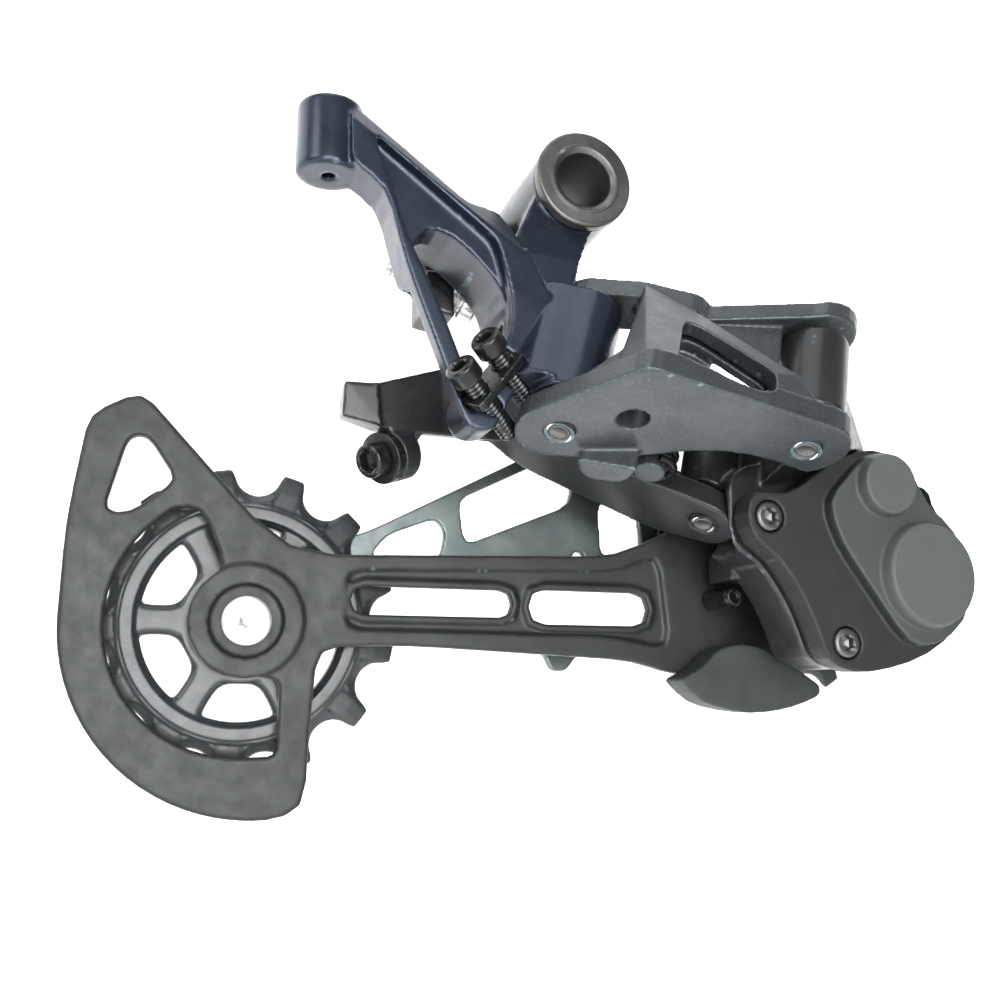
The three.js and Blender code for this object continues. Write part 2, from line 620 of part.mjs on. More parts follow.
// The tapped plate that both limit screws turn in, grown by a margin to cut its seat.
function stopPlateBlock(margin) {
  const [first, second] = Object.values(LIMIT_SCREWS).map(start => new THREE.Vector3(...start));
  const z = new THREE.Vector3(...LIMIT_SCREW_AXIS).normalize();
  const x = first.clone().sub(second);
  x.addScaledVector(z, -x.dot(z)).normalize();
  const matrix = frame(x, z.clone().cross(x), z, first.add(second).divideScalar(2).toArray());
  const halfLength = 6.4 + margin;
  const halfWidth = 3.1 + margin;
  const shape = outline([
    [-halfLength, -halfWidth, 1], [halfLength, -halfWidth, 1],
    [halfLength, halfWidth, 1], [-halfLength, halfWidth, 1],
  ]);
  return slab(shape, matrix, STOP_PLATE_DEPTH[0] - margin, STOP_PLATE_DEPTH[1] + margin);
}

function stopPlate() {
  const bores = Object.values(LIMIT_SCREWS).map(start =>
    rod(limitFrame(start), [0, 0], 0, 30, LIMIT_SCREW_RADIUS + RUN));
  return cut(stopPlateBlock(0), ...bores);
}

// Room in a knuckle for one flange of a link through its whole swing. The slope is the one
// that clears the flange at both ends of the swing, and the heights are at the pin.
const flangeRoom = (axis, radius, directions, slope, [low, high]) =>
  slab(sweepOutline(axis, radius + 0.4, directions), sloped(slope, axis[0]), low, high);

const heightAt = (height, slope, [u]) => height + slope * u;

function bKnuckle() {
  const [face, back] = KNUCKLE_FACES;
  const shape = outline([
    [-18.4, 13.2, 1.5], [-13.6, 9.8, 3], [3.2, -3, 1.5], [9.8, -2.4, 3], [22, -25.2, 3],
    [19.4, -29.6, 2], [14.8, -33, 2], [10, -40.4, 3], [8, -45.2, 2], [3, -45, 2],
    [1.4, -40.6, 3], [-3, -29.4, 5], [-8.4, -15.9, 5],
    [-11.8, -3, 4], [-18, 0.6, 2],
  ]);
  // The sloping face along the strut's top edge
  const topFace = block([
    [-24, face - 1, 15], [-24, face, 12.4], [-24, face + 2.8, 17.6],
    [14, face - 1, -9.4], [14, face, -12], [14, face + 2.8, -6.8],
    [-24, face - 1, 30], [14, face - 1, 10],
  ]);
  const window = outline([
    [-6.6, -12, 2], [-4, -8.2, 2], [0.8, -8.8, 3], [8.8, -15.6, 4], [11.2, -21, 4], [10.8, -27, 3],
    [4.6, -39.6, 2],
  ]);
  const recess = outline([
    [-14.4, 7, 2], [8.4, -9.8, 2], [11.4, -20, 5], [11, -27, 3], [5, -39, 2], [-3.6, -20, 2],
    [-8.6, -10, 2], [-12.2, 1, 2],
  ]);
  const [low, high] = HOUSING_STOP_Z;
  const boss = turned([
    [0, low], [5.3, low], [5.85, low + 0.6], [5.85, high - 0.6], [5.3, high], [0, high],
  ], WORLD, HOUSING_STOP);
  const neck = block([
    [18.5, -26.4, 4], [31, -26.4, -1], [31, -9, -1], [19, -9, 0],
    [28.6, -28, -10], [28.6, -11, -10], [11, -28, -12], [14, -13, -12],
  ]);
  const shoulder = block([
    [11, -28, -9.5], [28.6, -28, -9.5], [28.6, -12, -9.5], [14, -13, -10], [34, -31, -18],
    [34, -26, -21], [21, -34, -26], [11, -30, -30], [14, -13, -34], [25, -7.4, -22],
  ]);
  // The inner wall of the window, between the strut and the bracket
  const hood = sideSlab(outline([
    [-4, -8.2, 2], [0.8, -8.8, 3], [8.8, -15.6, 4], [11.2, -21, 3], [10.8, -27, 2], [21, -26, 2],
    [9.8, -3.4, 3], [3.2, -3.6, 1], [-4, -3, 1],
  ]), back - 0.4, HOOD_BACK_Y);
  const web = slab(outline([
    [1, -6, 1], [-8, -6, 2], [-15, 2, 3], [-16.8, 22, 4], [-11, 28.6, 5], [-5.6, 24, 3],
    [3, 12, 3], [6.2, 0, 2],
  ]), PIN, 7, BARREL_OUTER_B[1]);
  const strut = cut(
    sideSlab(shape, face, back),
    sideSlab(window, face - 1, back + 1),
    sideSlab(recess, face - 1, face + 2.6),
    topFace,
  );
  const armSweep = sweepOutline(INNER_B, LUG_RADIUS + 0.6, [192, 213 + SWING], ARM_REACH);
  const armRoom = slab(armSweep, PIN, 2, BARREL_INNER_B[0] - 0.1);
  const strutFront = sideSlab(outline([[-60, -80], [60, -80], [60, 60], [-60, 60]]), -80, STRUT_RELIEF_Y);
  const casting = join(
    cut(strut, cut(armRoom, strutFront)), boss, cut(join(neck, shoulder, hood, web), armRoom),
    sideRod(B_AXLE, ...BARREL_Y, BARREL_RADIUS, FINE),
    pinRod(OUTER_B, BARREL_OUTER_B, BARREL_OUTER_RADIUS, FINE),
    pinRod(INNER_B, BARREL_INNER_B, BARREL_INNER_RADIUS, FINE),
  );
  const forward = [0, SWING];
  const innerTop = heightAt(INNER_FLANGE[1], INNER_FLANGE_SLOPE, INNER_B);
  const capUnder = heightAt(INNER_TOP[0], INNER_TOP_SLOPE, INNER_B);
  const screwRooms = Object.values(LIMIT_SCREWS).flatMap(start => [
    rod(limitFrame(start), [0, 0], -4, STOP_PLATE_DEPTH[1] + GAP, 3.2),
    rod(limitFrame(start), [0, 0], 0, 30, LIMIT_SCREW_RADIUS + RUN),
  ]);
  return cut(
    casting,
    flangeRoom(OUTER_B, LOBE_RADIUS, forward, 0.31, [-12, OUTER_FLANGE[1] + FLANGE_GAP]),
    flangeRoom(OUTER_B, UPPER_LOBE_RADIUS, forward, 0, [BARREL_OUTER_B[1] + 0.05, 60]),
    flangeRoom(INNER_B, LUG_RADIUS, forward, -0.163, [-12, innerTop + FLANGE_GAP]),
    flangeRoom(INNER_B, LUG_RADIUS, forward, -0.166, [capUnder - GAP, 60]),
    pinRod(OUTER_B, [-10, 60], BUSH_SEAT),
    pinRod(INNER_B, [-10, 60], BUSH_SEAT),
    sideRod(B_AXLE, -40, 4, AXLE_SHANK_RADIUS + RUN + BUSH_WALL, SMOOTH),
    rod(WORLD, HOUSING_STOP, low + 5, high + 1, HOUSING_SEAT_RADIUS),
    rod(WORLD, HOUSING_STOP, low - 1, high, 1.2),
    ...screwRooms,
    stopPlateBlock(GAP),
  );
}

// A bush that the B-knuckle turns on, pressed into the barrel.
function bBush(outboard, inboard) {
  const bore = AXLE_SHANK_RADIUS + RUN;
  return sideRing(B_AXLE, outboard, inboard, bore + BUSH_WALL - 0.03, bore, SMOOTH);
}

// ---------------------------------------------------------------- inner link

function innerLink() {
  const plan = outline([
    ...arc(INNER_B, LUG_RADIUS, 95, 265, 6), [0, 17.6, 6], [12, 18.6, 6],
    ...arc(INNER_P, LUG_RADIUS, -95, 60, 9), [24, 32.4, 4], [-6, 32.4, 4],
  ]);
  const web = wall([
    [-8, 29.9, 15], [26, 29.9, 7], [26, 29.9, 33], [-8, 29.9, 37],
  ], [0, 2.5, 0], PIN);
  const armRoot = block([
    [17, -13, -32], [17, -13, -41.5], [15, -5.6, -34], [16, -5.6, -40], [4, -12.6, -28],
    [4, -12.6, -41.3], [4, -6, -29.4], [4, -6, -40],
  ]);
  const arm = block([
    [4.2, -12.6, -28], [4.2, -12.6, -41.3], [4.2, -6, -29.4], [4.2, -6, -40],
    [-9, -14, -32.6], [-8, -14.4, -41.4], [-9, -7.4, -32.6], [-8, -7.4, -40.4],
  ]);
  const tip = block([
    [-8.8, -15.2, -32.8], [-15, -15, -33], [-15.2, -14.6, -39.6], [-8, -15.2, -41],
    [-8.8, -7.4, -33], [-14.6, -7.6, -33.6], [-14.6, -7.6, -38.6], [-8, -7.4, -40.4],
  ]);
  const bridge = block([
    [-8.6, -13.6, -39.6], [1.4, -12.8, -39.6], [1.4, -6.6, -39], [-7, -7.6, -39],
    [-6.6, -12.4, -44.4], [-1.2, -11, -44.4], [-1.4, -8, -43.4], [-5.6, -8.8, -43.6],
  ]);
  const [bossNear, bossFar] = CLAMP_BOSS;
  const casting = join(
    slab(plan, sloped(INNER_FLANGE_SLOPE), ...INNER_FLANGE),
    slab(plan, sloped(INNER_TOP_SLOPE), ...INNER_TOP),
    web, armRoot, arm, tip, bridge,
    rod(CLAMP, [0, 0], bossNear - 1, bossFar, 5, FINE),
  );
  return cut(
    casting,
    rod(CLAMP, [0, 0], -8, bossNear, 5.4, FINE),
    rod(CLAMP, [0, 0], -8, bossFar + 8, 1.96),
    pinRod(INNER_B, [BARREL_INNER_B[0] - GAP, INNER_TOP[0] + 1.2], BARREL_INNER_RADIUS + 0.5),
    pinRod(INNER_P, [BARREL_INNER_P[0] - GAP, INNER_TOP[0] - 3.7], BARREL_INNER_RADIUS + 0.5),
    pinRod(INNER_B, [-10, 60], PIN_SEAT),
    pinRod(INNER_P, [-10, 60], PIN_SEAT),
  );
}

// ---------------------------------------------------------------- P-knuckle and clutch

function pKnuckle() {
  const shape = outline([
    [55, -50, 2], [59, -46.6, 3], [67, -46.4, 3], [79, -43.8, 4], [88, -43.8, 4], [93, -50, 4],
    ...arc(P_AXLE, 12.4, 50, -72, 6), [84, -84.6, 4], [76, -85.4, 4], [69.8, -83, 4],
    [68.6, -79, 3], [65.6, -72.4, 3], [60.6, -65.4, 3], [54.8, -62.4, 3],
  ]);
  const yoke = block([
    [64, -41, -45.6], [74, -41, -44], [75.4, -38, -27], [70, -33, -22], [88, -30.6, -46],
    [88, -20.6, -47], [80, -22, -36], [66, -28, -48], [64, -17, -36], [60, -16.4, -47],
    [60, -20.6, -56], [66, -17, -52],
  ]);
  const stopLug = block([
    [60.4, -22, -67.8], [66.4, -22, -67.8], [68.6, -22, -60.4], [60, -22, -60.4],
    [61.4, -11.4, -67.8], [66.2, -11.4, -67.8], [67.4, -11.4, -62.2], [61.6, -11.4, -62.2],
  ]);
  const leverLug = block([
    [97.6, -22.6, -54.6], [101.6, -22.6, -53.4], [97.6, -17.2, -54.6], [101.6, -17.2, -53.4],
    [94, -22.6, -60], [101, -22.6, -60], [94, -17.2, -60], [101, -17.2, -60],
  ]);
  const casting = join(
    sideSlab(shape, KNUCKLE_TOP_Y, KNUCKLE_FLOOR_Y),
    sideRod(P_AXLE, KNUCKLE_FLOOR_Y - 0.5, CUP_FACE_Y, CUP_RADIUS, FINE),
    yoke, stopLug, leverLug,
    sideRod(LEVER_PIVOT, -23, -17, 3.4),
    pinRod(OUTER_P, BARREL_OUTER_P, BARREL_OUTER_RADIUS, FINE),
    pinRod(INNER_P, BARREL_INNER_P, BARREL_INNER_RADIUS, FINE),
  );
  const boltHoles = COVER_BOLTS.map(centre => sideRod(centre, -40, -22, 1.5 + RUN));
  const backward = [180, 180 + SWING];
  const outerTop = heightAt(OUTER_FLANGE[1], OUTER_FLANGE_SLOPE, OUTER_P);
  const roofUnder = heightAt(OUTER_ROOF[0], OUTER_ROOF_SLOPE, OUTER_P);
  const innerTop = heightAt(INNER_FLANGE[1], INNER_FLANGE_SLOPE, INNER_P);
  const capUnder = heightAt(INNER_TOP[0], INNER_TOP_SLOPE, INNER_P);
  return cut(
    casting,
    flangeRoom(OUTER_P, LOBE_RADIUS, backward, OUTER_FLANGE_SLOPE, [-12, outerTop + ROOF_GAP]),
    flangeRoom(OUTER_P, LOBE_RADIUS, backward, 0.424, [roofUnder - ROOF_GAP, 60]),
    flangeRoom(INNER_P, LUG_RADIUS, backward, -0.325, [-12, innerTop + ROOF_GAP]),
    flangeRoom(INNER_P, LUG_RADIUS, backward, INNER_TOP_SLOPE, [capUnder - GAP, 60]),
    sideSlab(outline(scaled(COVER_OUTLINE, [80, -65], 1.02)), -60, KNUCKLE_TOP_Y),
    sideRod(P_AXLE, -40, CUP_FACE_Y - 2, SPRING_ROOM_RADIUS, FINE),
    sideRod(P_AXLE, -40, 0, P_BORE_RADIUS, FINE),
    sideRod(LEVER_PIVOT, -40, 0, 1.5 + RUN),
    ...boltHoles,
    pinRod(OUTER_P, [-10, 60], BUSH_SEAT),
    pinRod(INNER_P, [-10, 60], BUSH_SEAT),
  );
}

function clutchCover() {
  const dome = outline([
    [71, -54.4, 3], [80, -45.2, 3], [87, -44.8, 4], [91.4, -49, 3], [93.4, -54, 3], [100, -58.5, 5],
    [103, -68, 8], [100.6, -76.4, 6], [93, -81, 5], [87, -80.4, 4], [80.4, -71.6, 4], [73.4, -62, 3],
  ]);
  const bigBoss = turned([[0, 34], [10.8, 34], [10.4, 38.6], [9.5, 41.3], [9.1, 41.6], [0, 41.6]],
    SIDE, P_AXLE, SMOOTH);
  const smallBoss = turned([[0, 34], [6.6, 34], [6.4, 38.6], [5.7, 41.3], [5.4, 41.5], [0, 41.5]],
    SIDE, SMALL_BOSS);
  const cover = join(
    sideSlab(outline(COVER_OUTLINE), COVER_RIM_Y, COVER_SEAT_Y),
    sideSlab(dome, COVER_DOME_Y, COVER_RIM_Y + 1),
    bigBoss, smallBoss,
  );
  const boltHoles = COVER_BOLTS.flatMap(centre => [
    sideRod(centre, -50, COVER_RIM_Y + COVER_RECESS, 3.1),
    sideRod(centre, -50, -20, 1.5 + RUN),
  ]);
  return cut(
    cover, ...boltHoles,
    sideRod(P_AXLE, -39.8, -20, COVER_ROOM_RADIUS, FINE),
    sideRod(SMALL_BOSS, -39.6, -20, 4.6),
  );
}

function coverGasket() {
  const bolts = COVER_BOLTS.map(centre => sideRod(centre, -50, -20, 1.6));
  return cut(
    sideSlab(outline(scaled(COVER_OUTLINE, [80, -65], 0.985)), ...GASKET_Y),
    sideRod(P_AXLE, -50, -20, CLUTCH_ROOM_RADIUS, FINE),
    sideRod(SMALL_BOSS, -50, -20, 4.6),
    ...bolts,
  );
}

const coverBolt = ([x, z]) => socketScrew(aimed([x, COVER_RIM_Y - 0.2, z], [0, 1, 0]), {
  head: 2.75, headLength: 2.1, shank: 1.5, length: 8.4, hex: 2.5,
});

// The cage turns on this axle; its shoulder seats on the cage plate.
function pAxle() {
  return turned([
    [0, 37.5], [P_AXLE_RADIUS - 0.5, 37.5], [P_AXLE_RADIUS, 37], [P_AXLE_RADIUS, 8.8], [4.14, 8.8],
    [4.14, 5.8], [0, 5.8],
  ], SIDE, P_AXLE);
}

function frictionBand() {
  const [inner, outer] = BAND_RADIUS;
  const band = sideRing(P_AXLE, -38, -33, outer, inner, FINE);
  const split = new THREE.BoxGeometry(4, 30, 1.4).translate(P_AXLE[0] + outer, -35, P_AXLE[1]);
  return cut(band, solid(split));
}

function switchLever() {
  const [x, z] = LEVER_PIVOT;
  const arm = sideSlab(outline([
    [x - 1.6, z + 1, 1], [x + 2.6, z + 2, 1], [x + 8.6, z - 8.6, 2], [x + 7.4, z - 11.4, 2],
    [x + 4.6, z - 9, 2],
  ]), -29.6, -27.2);
  const hub = sideRod(LEVER_PIVOT, -30.2, -23.4, 3.2);
  return join(arm, hub, sideRod(LEVER_PIVOT, -24, -17.4, 1.5));
}

// ---------------------------------------------------------------- the assembly

// The shapes above are laid out beside the hanger; the whole model is moved so that the
// hanger bolt's axis passes through the origin.
const derailleur = new THREE.Group();
derailleur.name = 'derailleur';
derailleur.position.set(-HANGER[0], 0, -HANGER[1]);

const bodies = {};
for (const name of ['bracket', 'b_knuckle', 'outer_link', 'inner_link', 'p_knuckle', 'cage']) {
  bodies[name] = new THREE.Group();
  bodies[name].name = name;
  derailleur.add(bodies[name]);
}

function piece(body, name, shape, material) {
  const { numProp, vertProperties, triVerts } = shape.getMesh();
  const positions = new Float32Array(triVerts.length * 3);
  triVerts.forEach((vertex, i) => {
    for (let axis = 0; axis < 3; axis += 1) {
      positions[3 * i + axis] = vertProperties[vertex * numProp + axis];
    }
  });
  const geometry = new THREE.BufferGeometry();
  geometry.setAttribute('position', new THREE.BufferAttribute(positions, 3));
  geometry.computeVertexNormals();
  const mesh = new THREE.Mesh(geometry, material.clone());
  mesh.name = name;
  bodies[body].add(mesh);
}

piece('bracket', 'bracket_link', bracketLink(), materials.screw_steel);
piece('bracket', 'hanger_bolt', hangerBolt(), materials.screw_steel);
piece('bracket', 'b_axle', bAxle(), materials.axle_steel);
piece('bracket', 'b_tension_screw', socketScrew(B_SCREW, {
  head: 3.2, headLength: 3, shank: 1.95, length: bScrewSpan.length(), hex: 2.5,
}), materials.bright_steel);

piece('b_knuckle', 'b_knuckle', bKnuckle(), materials.knuckle_blue);
piece('b_knuckle', 'b_bush_outboard', bBush(-27, -20), materials.bronze_bush);
piece('b_knuckle', 'b_bush_inboard', bBush(-12, -5.2), materials.bronze_bush);
piece('b_knuckle', 'bush_outer_b', bush(OUTER_B, BARREL_OUTER_B), materials.bronze_bush);
piece('b_knuckle', 'bush_inner_b', bush(INNER_B, BARREL_INNER_B), materials.bronze_bush);
piece('b_knuckle', 'limit_stop_plate', stopPlate(), materials.screw_steel);
for (const [name, start] of Object.entries(LIMIT_SCREWS)) {
  piece('b_knuckle', name, socketScrew(limitFrame(start), {
    head: 2.8, headLength: 3.4, shank: LIMIT_SCREW_RADIUS, length: LIMIT_SCREW_LENGTH, hex: 2.5,
  }), materials.screw_steel);
}

piece('outer_link', 'outer_link', outerLink(), materials.link_grey);
piece('outer_link', 'outer_pin_b', pin(OUTER_B, -0.1, 33), materials.axle_steel);
piece('outer_link', 'outer_pin_p', pin(OUTER_P, 9.3, 38.6), materials.axle_steel);
piece('outer_link', 'return_spring', returnSpring(), materials.spring_steel);

piece('inner_link', 'inner_link', innerLink(), materials.black_satin);
piece('inner_link', 'inner_pin_b', pin(INNER_B, 14.1, 38.6), materials.axle_steel);
piece('inner_link', 'inner_pin_p', pin(INNER_P, 4.2, 33.6), materials.axle_steel);
piece('inner_link', 'cable_clamp_washer', ring(CLAMP, [0, 0], 3.5, 5.3, 4.9, 2.1, FINE),
  materials.screw_steel);
piece('inner_link', 'cable_clamp_bolt', socketScrew(CLAMP, {
  head: 3.2, headLength: 3.2, shank: 1.9, length: CLAMP_BOLT_LENGTH, hex: 4,
}), materials.screw_steel);

piece('p_knuckle', 'p_knuckle', pKnuckle(), materials.black_satin);
piece('p_knuckle', 'bush_outer_p', bush(OUTER_P, BARREL_OUTER_P), materials.bronze_bush);
piece('p_knuckle', 'bush_inner_p', bush(INNER_P, BARREL_INNER_P), materials.bronze_bush);
piece('p_knuckle', 'p_bush', sideRing(P_AXLE, -11.1, -9.3, P_BORE_RADIUS - 0.03,
  P_AXLE_RADIUS + RUN, FINE), materials.bronze_bush);
piece('p_knuckle', 'cage_spring', coil(SIDE, P_AXLE, -CAGE_SPRING.to, -CAGE_SPRING.from,
  CAGE_SPRING.radius, CAGE_SPRING.wire, 5), materials.spring_steel);
piece('p_knuckle', 'friction_band', frictionBand(), materials.bright_steel);
piece('p_knuckle', 'clutch_gasket', coverGasket(), materials.seal_rubber);
piece('p_knuckle', 'clutch_cover', clutchCover(), materials.cover_charcoal);
COVER_BOLTS.forEach((centre, i) => {
  piece('p_knuckle', `cover_bolt_${i + 1}`, coverBolt(centre), materials.axle_steel);
});
piece('p_knuckle', 'clutch_switch_lever', switchLever(), materials.screw_steel);

piece('cage', 'p_axle', pAxle(), materials.axle_steel);
piece('cage', 'roller_clutch', sideRing(P_AXLE, -37, -33, 7.6, P_AXLE_RADIUS + RUN, FINE),
  materials.bright_steel);
piece('cage', 'cage_seal', sideRing(P_AXLE, -9.05, -8.65, 9.3, 6.5, FINE), materials.seal_rubber);
piece('cage', 'cage_outer_plate', cageOuterPlate(), materials.cage_black);
piece('cage', 'cage_inner_plate', cageInnerPlate(), materials.inner_grey);
piece('cage', 'tension_pulley', pulley(TENSION, -3.3), materials.pulley_black);
piece('cage', 'guide_pulley', pulley(GUIDE, 10), materials.pulley_black);
for (const [name, centre] of [['tension', TENSION], ['guide', GUIDE]]) {
  piece('cage', `${name}_sleeve`, sleeve(centre), materials.bright_steel);
  piece('cage', `${name}_cap_outboard`, dustCap(centre, -1), materials.screw_steel);
  piece('cage', `${name}_cap_inboard`, dustCap(centre, 1), materials.screw_steel);
}
piece('cage', 'tension_bolt', tensionBolt(), materials.bright_steel);
piece('cage', 'guide_bolt', guideBolt(), materials.screw_steel);
piece('cage', 'cage_bumper', cageBumper(), materials.bumper_charcoal);
piece('cage', 'stop_pin', stopPin(), materials.screw_steel);

export default derailleur;
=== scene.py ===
import json
import math

import bmesh
import bpy
from mathutils import Matrix, Vector


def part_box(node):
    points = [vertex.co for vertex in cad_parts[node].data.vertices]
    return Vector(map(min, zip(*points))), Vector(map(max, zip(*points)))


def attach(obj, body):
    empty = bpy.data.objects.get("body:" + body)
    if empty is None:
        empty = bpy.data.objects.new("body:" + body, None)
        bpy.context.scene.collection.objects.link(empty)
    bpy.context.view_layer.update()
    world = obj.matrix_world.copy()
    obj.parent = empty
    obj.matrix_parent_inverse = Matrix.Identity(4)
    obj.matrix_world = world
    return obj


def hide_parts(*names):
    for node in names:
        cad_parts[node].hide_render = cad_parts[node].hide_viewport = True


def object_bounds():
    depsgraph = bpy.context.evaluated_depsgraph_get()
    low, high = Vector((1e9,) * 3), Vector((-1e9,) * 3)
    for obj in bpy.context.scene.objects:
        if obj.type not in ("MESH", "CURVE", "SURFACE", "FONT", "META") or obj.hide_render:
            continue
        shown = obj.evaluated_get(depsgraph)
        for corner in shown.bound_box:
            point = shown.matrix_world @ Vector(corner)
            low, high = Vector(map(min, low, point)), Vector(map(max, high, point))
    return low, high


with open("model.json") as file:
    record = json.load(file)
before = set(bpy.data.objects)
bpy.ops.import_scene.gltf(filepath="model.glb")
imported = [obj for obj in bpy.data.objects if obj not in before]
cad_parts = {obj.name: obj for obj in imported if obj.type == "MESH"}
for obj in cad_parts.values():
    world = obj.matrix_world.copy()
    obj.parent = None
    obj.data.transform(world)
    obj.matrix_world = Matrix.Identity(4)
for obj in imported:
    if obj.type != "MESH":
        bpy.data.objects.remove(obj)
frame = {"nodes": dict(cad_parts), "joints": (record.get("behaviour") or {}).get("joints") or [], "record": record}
cad_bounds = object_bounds()

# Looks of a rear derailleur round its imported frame. Blender works in metres. The sizes of
# small features are in millimetres and go through MM.
MM = 0.001
NODES = frame["nodes"]
JOINTS = {joint["name"]: joint for joint in frame["joints"]}
MOUNTS = {mount["name"]: mount for mount in frame["record"]["mounts"]}
BODY_OF = {node: body for body, members in frame["record"]["behaviour"]["bodies"].items()
           for node in members}
SLOT_OF = {row["node"]: row["material_slot"] for row in frame["record"]["subparts"]}
OUTBOARD = Vector((0, -1, 0))
UP = Vector((0, 0, 1))

# Pulley rims: a round seat for each chain roller, between blunt teeth
TEETH = 13
SEAT_CENTRE = 28.0
SEAT_RADIUS = 4.35
TIP_RADIUS = 28.5
TIP_ROUNDING = 0.7
RIM_INNER_RADIUS = 19.6
TOOTH_FROM_RADIUS = 23
RIM_HALF_THICKNESS = 1.25
SPOKES = 6

# Link pins, whose ends show in the links' faces
PIN_RADIUS = 2.6
PIN_END_RADIUS = 1.9
PIN_END_DEPTH = 0.55

# The B-knuckle's casting is softer behind the strut's back face, which lies at this y
STRUT_BACK_Y = -25.5
STRUT_BLEND = 3

# Outermost points that two materials measure their painted light from: faces near them are painted lighter
COVER_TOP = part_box("clutch_cover")[0].y
KNUCKLE_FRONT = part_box("b_knuckle")[0].y


# ---------------------------------------------------------------- materials

def shader(name):
    """An empty node material with its Principled shader and output."""
    material = bpy.data.materials.new(name)
    material.use_nodes = True
    tree = material.node_tree
    return material, tree, tree.nodes["Principled BSDF"]


def texture(tree, kind, size_mm, **settings):
    """A procedural texture in object space, with features of about that size."""
    where = tree.nodes.new("ShaderNodeTexCoord")
    node = tree.nodes.new(kind)
    node.inputs["Scale"].default_value = 1 / (size_mm * MM)
    for key, value in settings.items():
        node.inputs[key].default_value = value
    tree.links.new(where.outputs["Object"], node.inputs["Vector"])
    return node


def ramp(tree, source, stops):
    """A colour ramp over a value, with stops of (position, colour)."""
    node = tree.nodes.new("ShaderNodeValToRGB")
    elements = node.color_ramp.elements
    while len(elements) < len(stops):
        elements.new(0.5)
    for element, (position, colour) in zip(elements, stops):
        element.position = position
        element.color = (*colour, 1)
    tree.links.new(source, node.inputs["Fac"])
    return node.outputs["Color"]


def mixed(tree, factor, first, second, kind="MIX"):
    """Two colours mixed. Each argument is a socket, a colour or a number."""
    node = tree.nodes.new("ShaderNodeMix")
    node.data_type = "RGBA"
    node.blend_type = kind
    colour_a, colour_b = node.inputs[6], node.inputs[7]     # A and B, as RGBA
    pairs = ((node.inputs["Factor"], factor), (colour_a, first), (colour_b, second))
    for socket, value in pairs:
        if isinstance(value, bpy.types.NodeSocket):
            tree.links.new(value, socket)
        elif isinstance(value, tuple):
            socket.default_value = (*value, 1)
        else:
            socket.default_value = value
    return node.outputs[2]                                  # Result, as RGBA


def surface(name, colour, second, roughness, metallic, grain_mm=0.12, grain_height=0.006,
            mottle_mm=9, edge=None, edge_from=0.53, fleck=None, coat=0.0, streak=None, painted_outer_light=None):
    """A coated or moulded surface: two tints in soft patches, fine grain, worn edges, flecks, and
    optional painted light on the faces nearest the outside.

    The last argument, when given, is that painted light: (tint, y of the outermost face in metres,
    depths in millimetres where the painted tint starts and is full). Faces near the outermost face
    get the lighter tint, standing in for the front lamp's light on them."""
    material, tree, bsdf = shader(name)
    patches = texture(tree, "ShaderNodeTexNoise", mottle_mm, Detail=4.0, Roughness=0.6)
    colour_out = ramp(tree, patches.outputs["Fac"], [(0.35, colour), (0.68, second)])
    grain = texture(tree, "ShaderNodeTexNoise", grain_mm, Detail=3.0, Roughness=0.7)
    shades = ramp(tree, grain.outputs["Fac"], [(0.3, (0.78,) * 3), (0.7, (1.2,) * 3)])
    colour_out = mixed(tree, 0.8, colour_out, shades, "MULTIPLY")
    if fleck:
        cells = texture(tree, "ShaderNodeTexVoronoi", 0.16)
        bright = ramp(tree, cells.outputs["Color"], [(0.80, (0,) * 3), (0.92, (1,) * 3)])
        colour_out = mixed(tree, bright, colour_out, fleck)
    # Painted light: faces near the outermost face are tinted lighter by their depth, standing in for the light
    # that falls on them
    if painted_outer_light:
        painted_light_tint, top, start, full = painted_outer_light
        split = tree.nodes.new("ShaderNodeSeparateXYZ")
        where = tree.nodes.new("ShaderNodeTexCoord")
        tree.links.new(where.outputs["Object"], split.inputs["Vector"])
        depth = tree.nodes.new("ShaderNodeMapRange")
        depth.inputs["From Min"].default_value = top + start * MM
        depth.inputs["From Max"].default_value = top + full * MM
        tree.links.new(split.outputs["Y"], depth.inputs["Value"])
        colour_out = mixed(tree, depth.outputs["Result"], colour_out, painted_light_tint)
    if edge:
        geometry = tree.nodes.new("ShaderNodeNewGeometry")
        wear = ramp(tree, geometry.outputs["Pointiness"],
                    [(edge_from, (0,) * 3), (edge_from + 0.07, (1,) * 3)])
        blotches = texture(tree, "ShaderNodeTexNoise", 2.2, Detail=5.0)
        broken = ramp(tree, blotches.outputs["Fac"], [(0.38, (0.15,) * 3), (0.62, (1,) * 3)])
        wear = mixed(tree, 1.0, wear, broken, "MULTIPLY")
        colour_out = mixed(tree, wear, colour_out, edge)
    tree.links.new(colour_out, bsdf.inputs["Base Color"])
    handled = texture(tree, "ShaderNodeTexNoise", 3.5, Detail=6.0, Roughness=0.65)
    low, high = max(roughness - 0.07, 0.05), min(roughness + 0.1, 1)
    rough_out = ramp(tree, handled.outputs["Fac"], [(0.32, (low,) * 3), (0.7, (high,) * 3)])
    tree.links.new(rough_out, bsdf.inputs["Roughness"])
    bsdf.inputs["Metallic"].default_value = metallic
    if coat:
        bsdf.inputs["Coat Weight"].default_value = coat
        bsdf.inputs["Coat Roughness"].default_value = 0.18
    bump = tree.nodes.new("ShaderNodeBump")
    bump.inputs["Strength"].default_value = 1.0
    bump.inputs["Distance"].default_value = grain_height * MM
    tree.links.new(grain.outputs["Fac"], bump.inputs["Height"])
    tree.links.new(bump.outputs["Normal"], bsdf.inputs["Normal"])
    if streak:
        scratches = texture(tree, "ShaderNodeTexNoise", 0.5, Detail=8.0, Roughness=0.8,
                            Distortion=streak)
        fine = tree.nodes.new("ShaderNodeBump")
        fine.inputs["Distance"].default_value = 0.004 * MM
        tree.links.new(scratches.outputs["Fac"], fine.inputs["Height"])
        tree.links.new(bump.outputs["Normal"], fine.inputs["Normal"])
        tree.links.new(fine.outputs["Normal"], bsdf.inputs["Normal"])
    return material


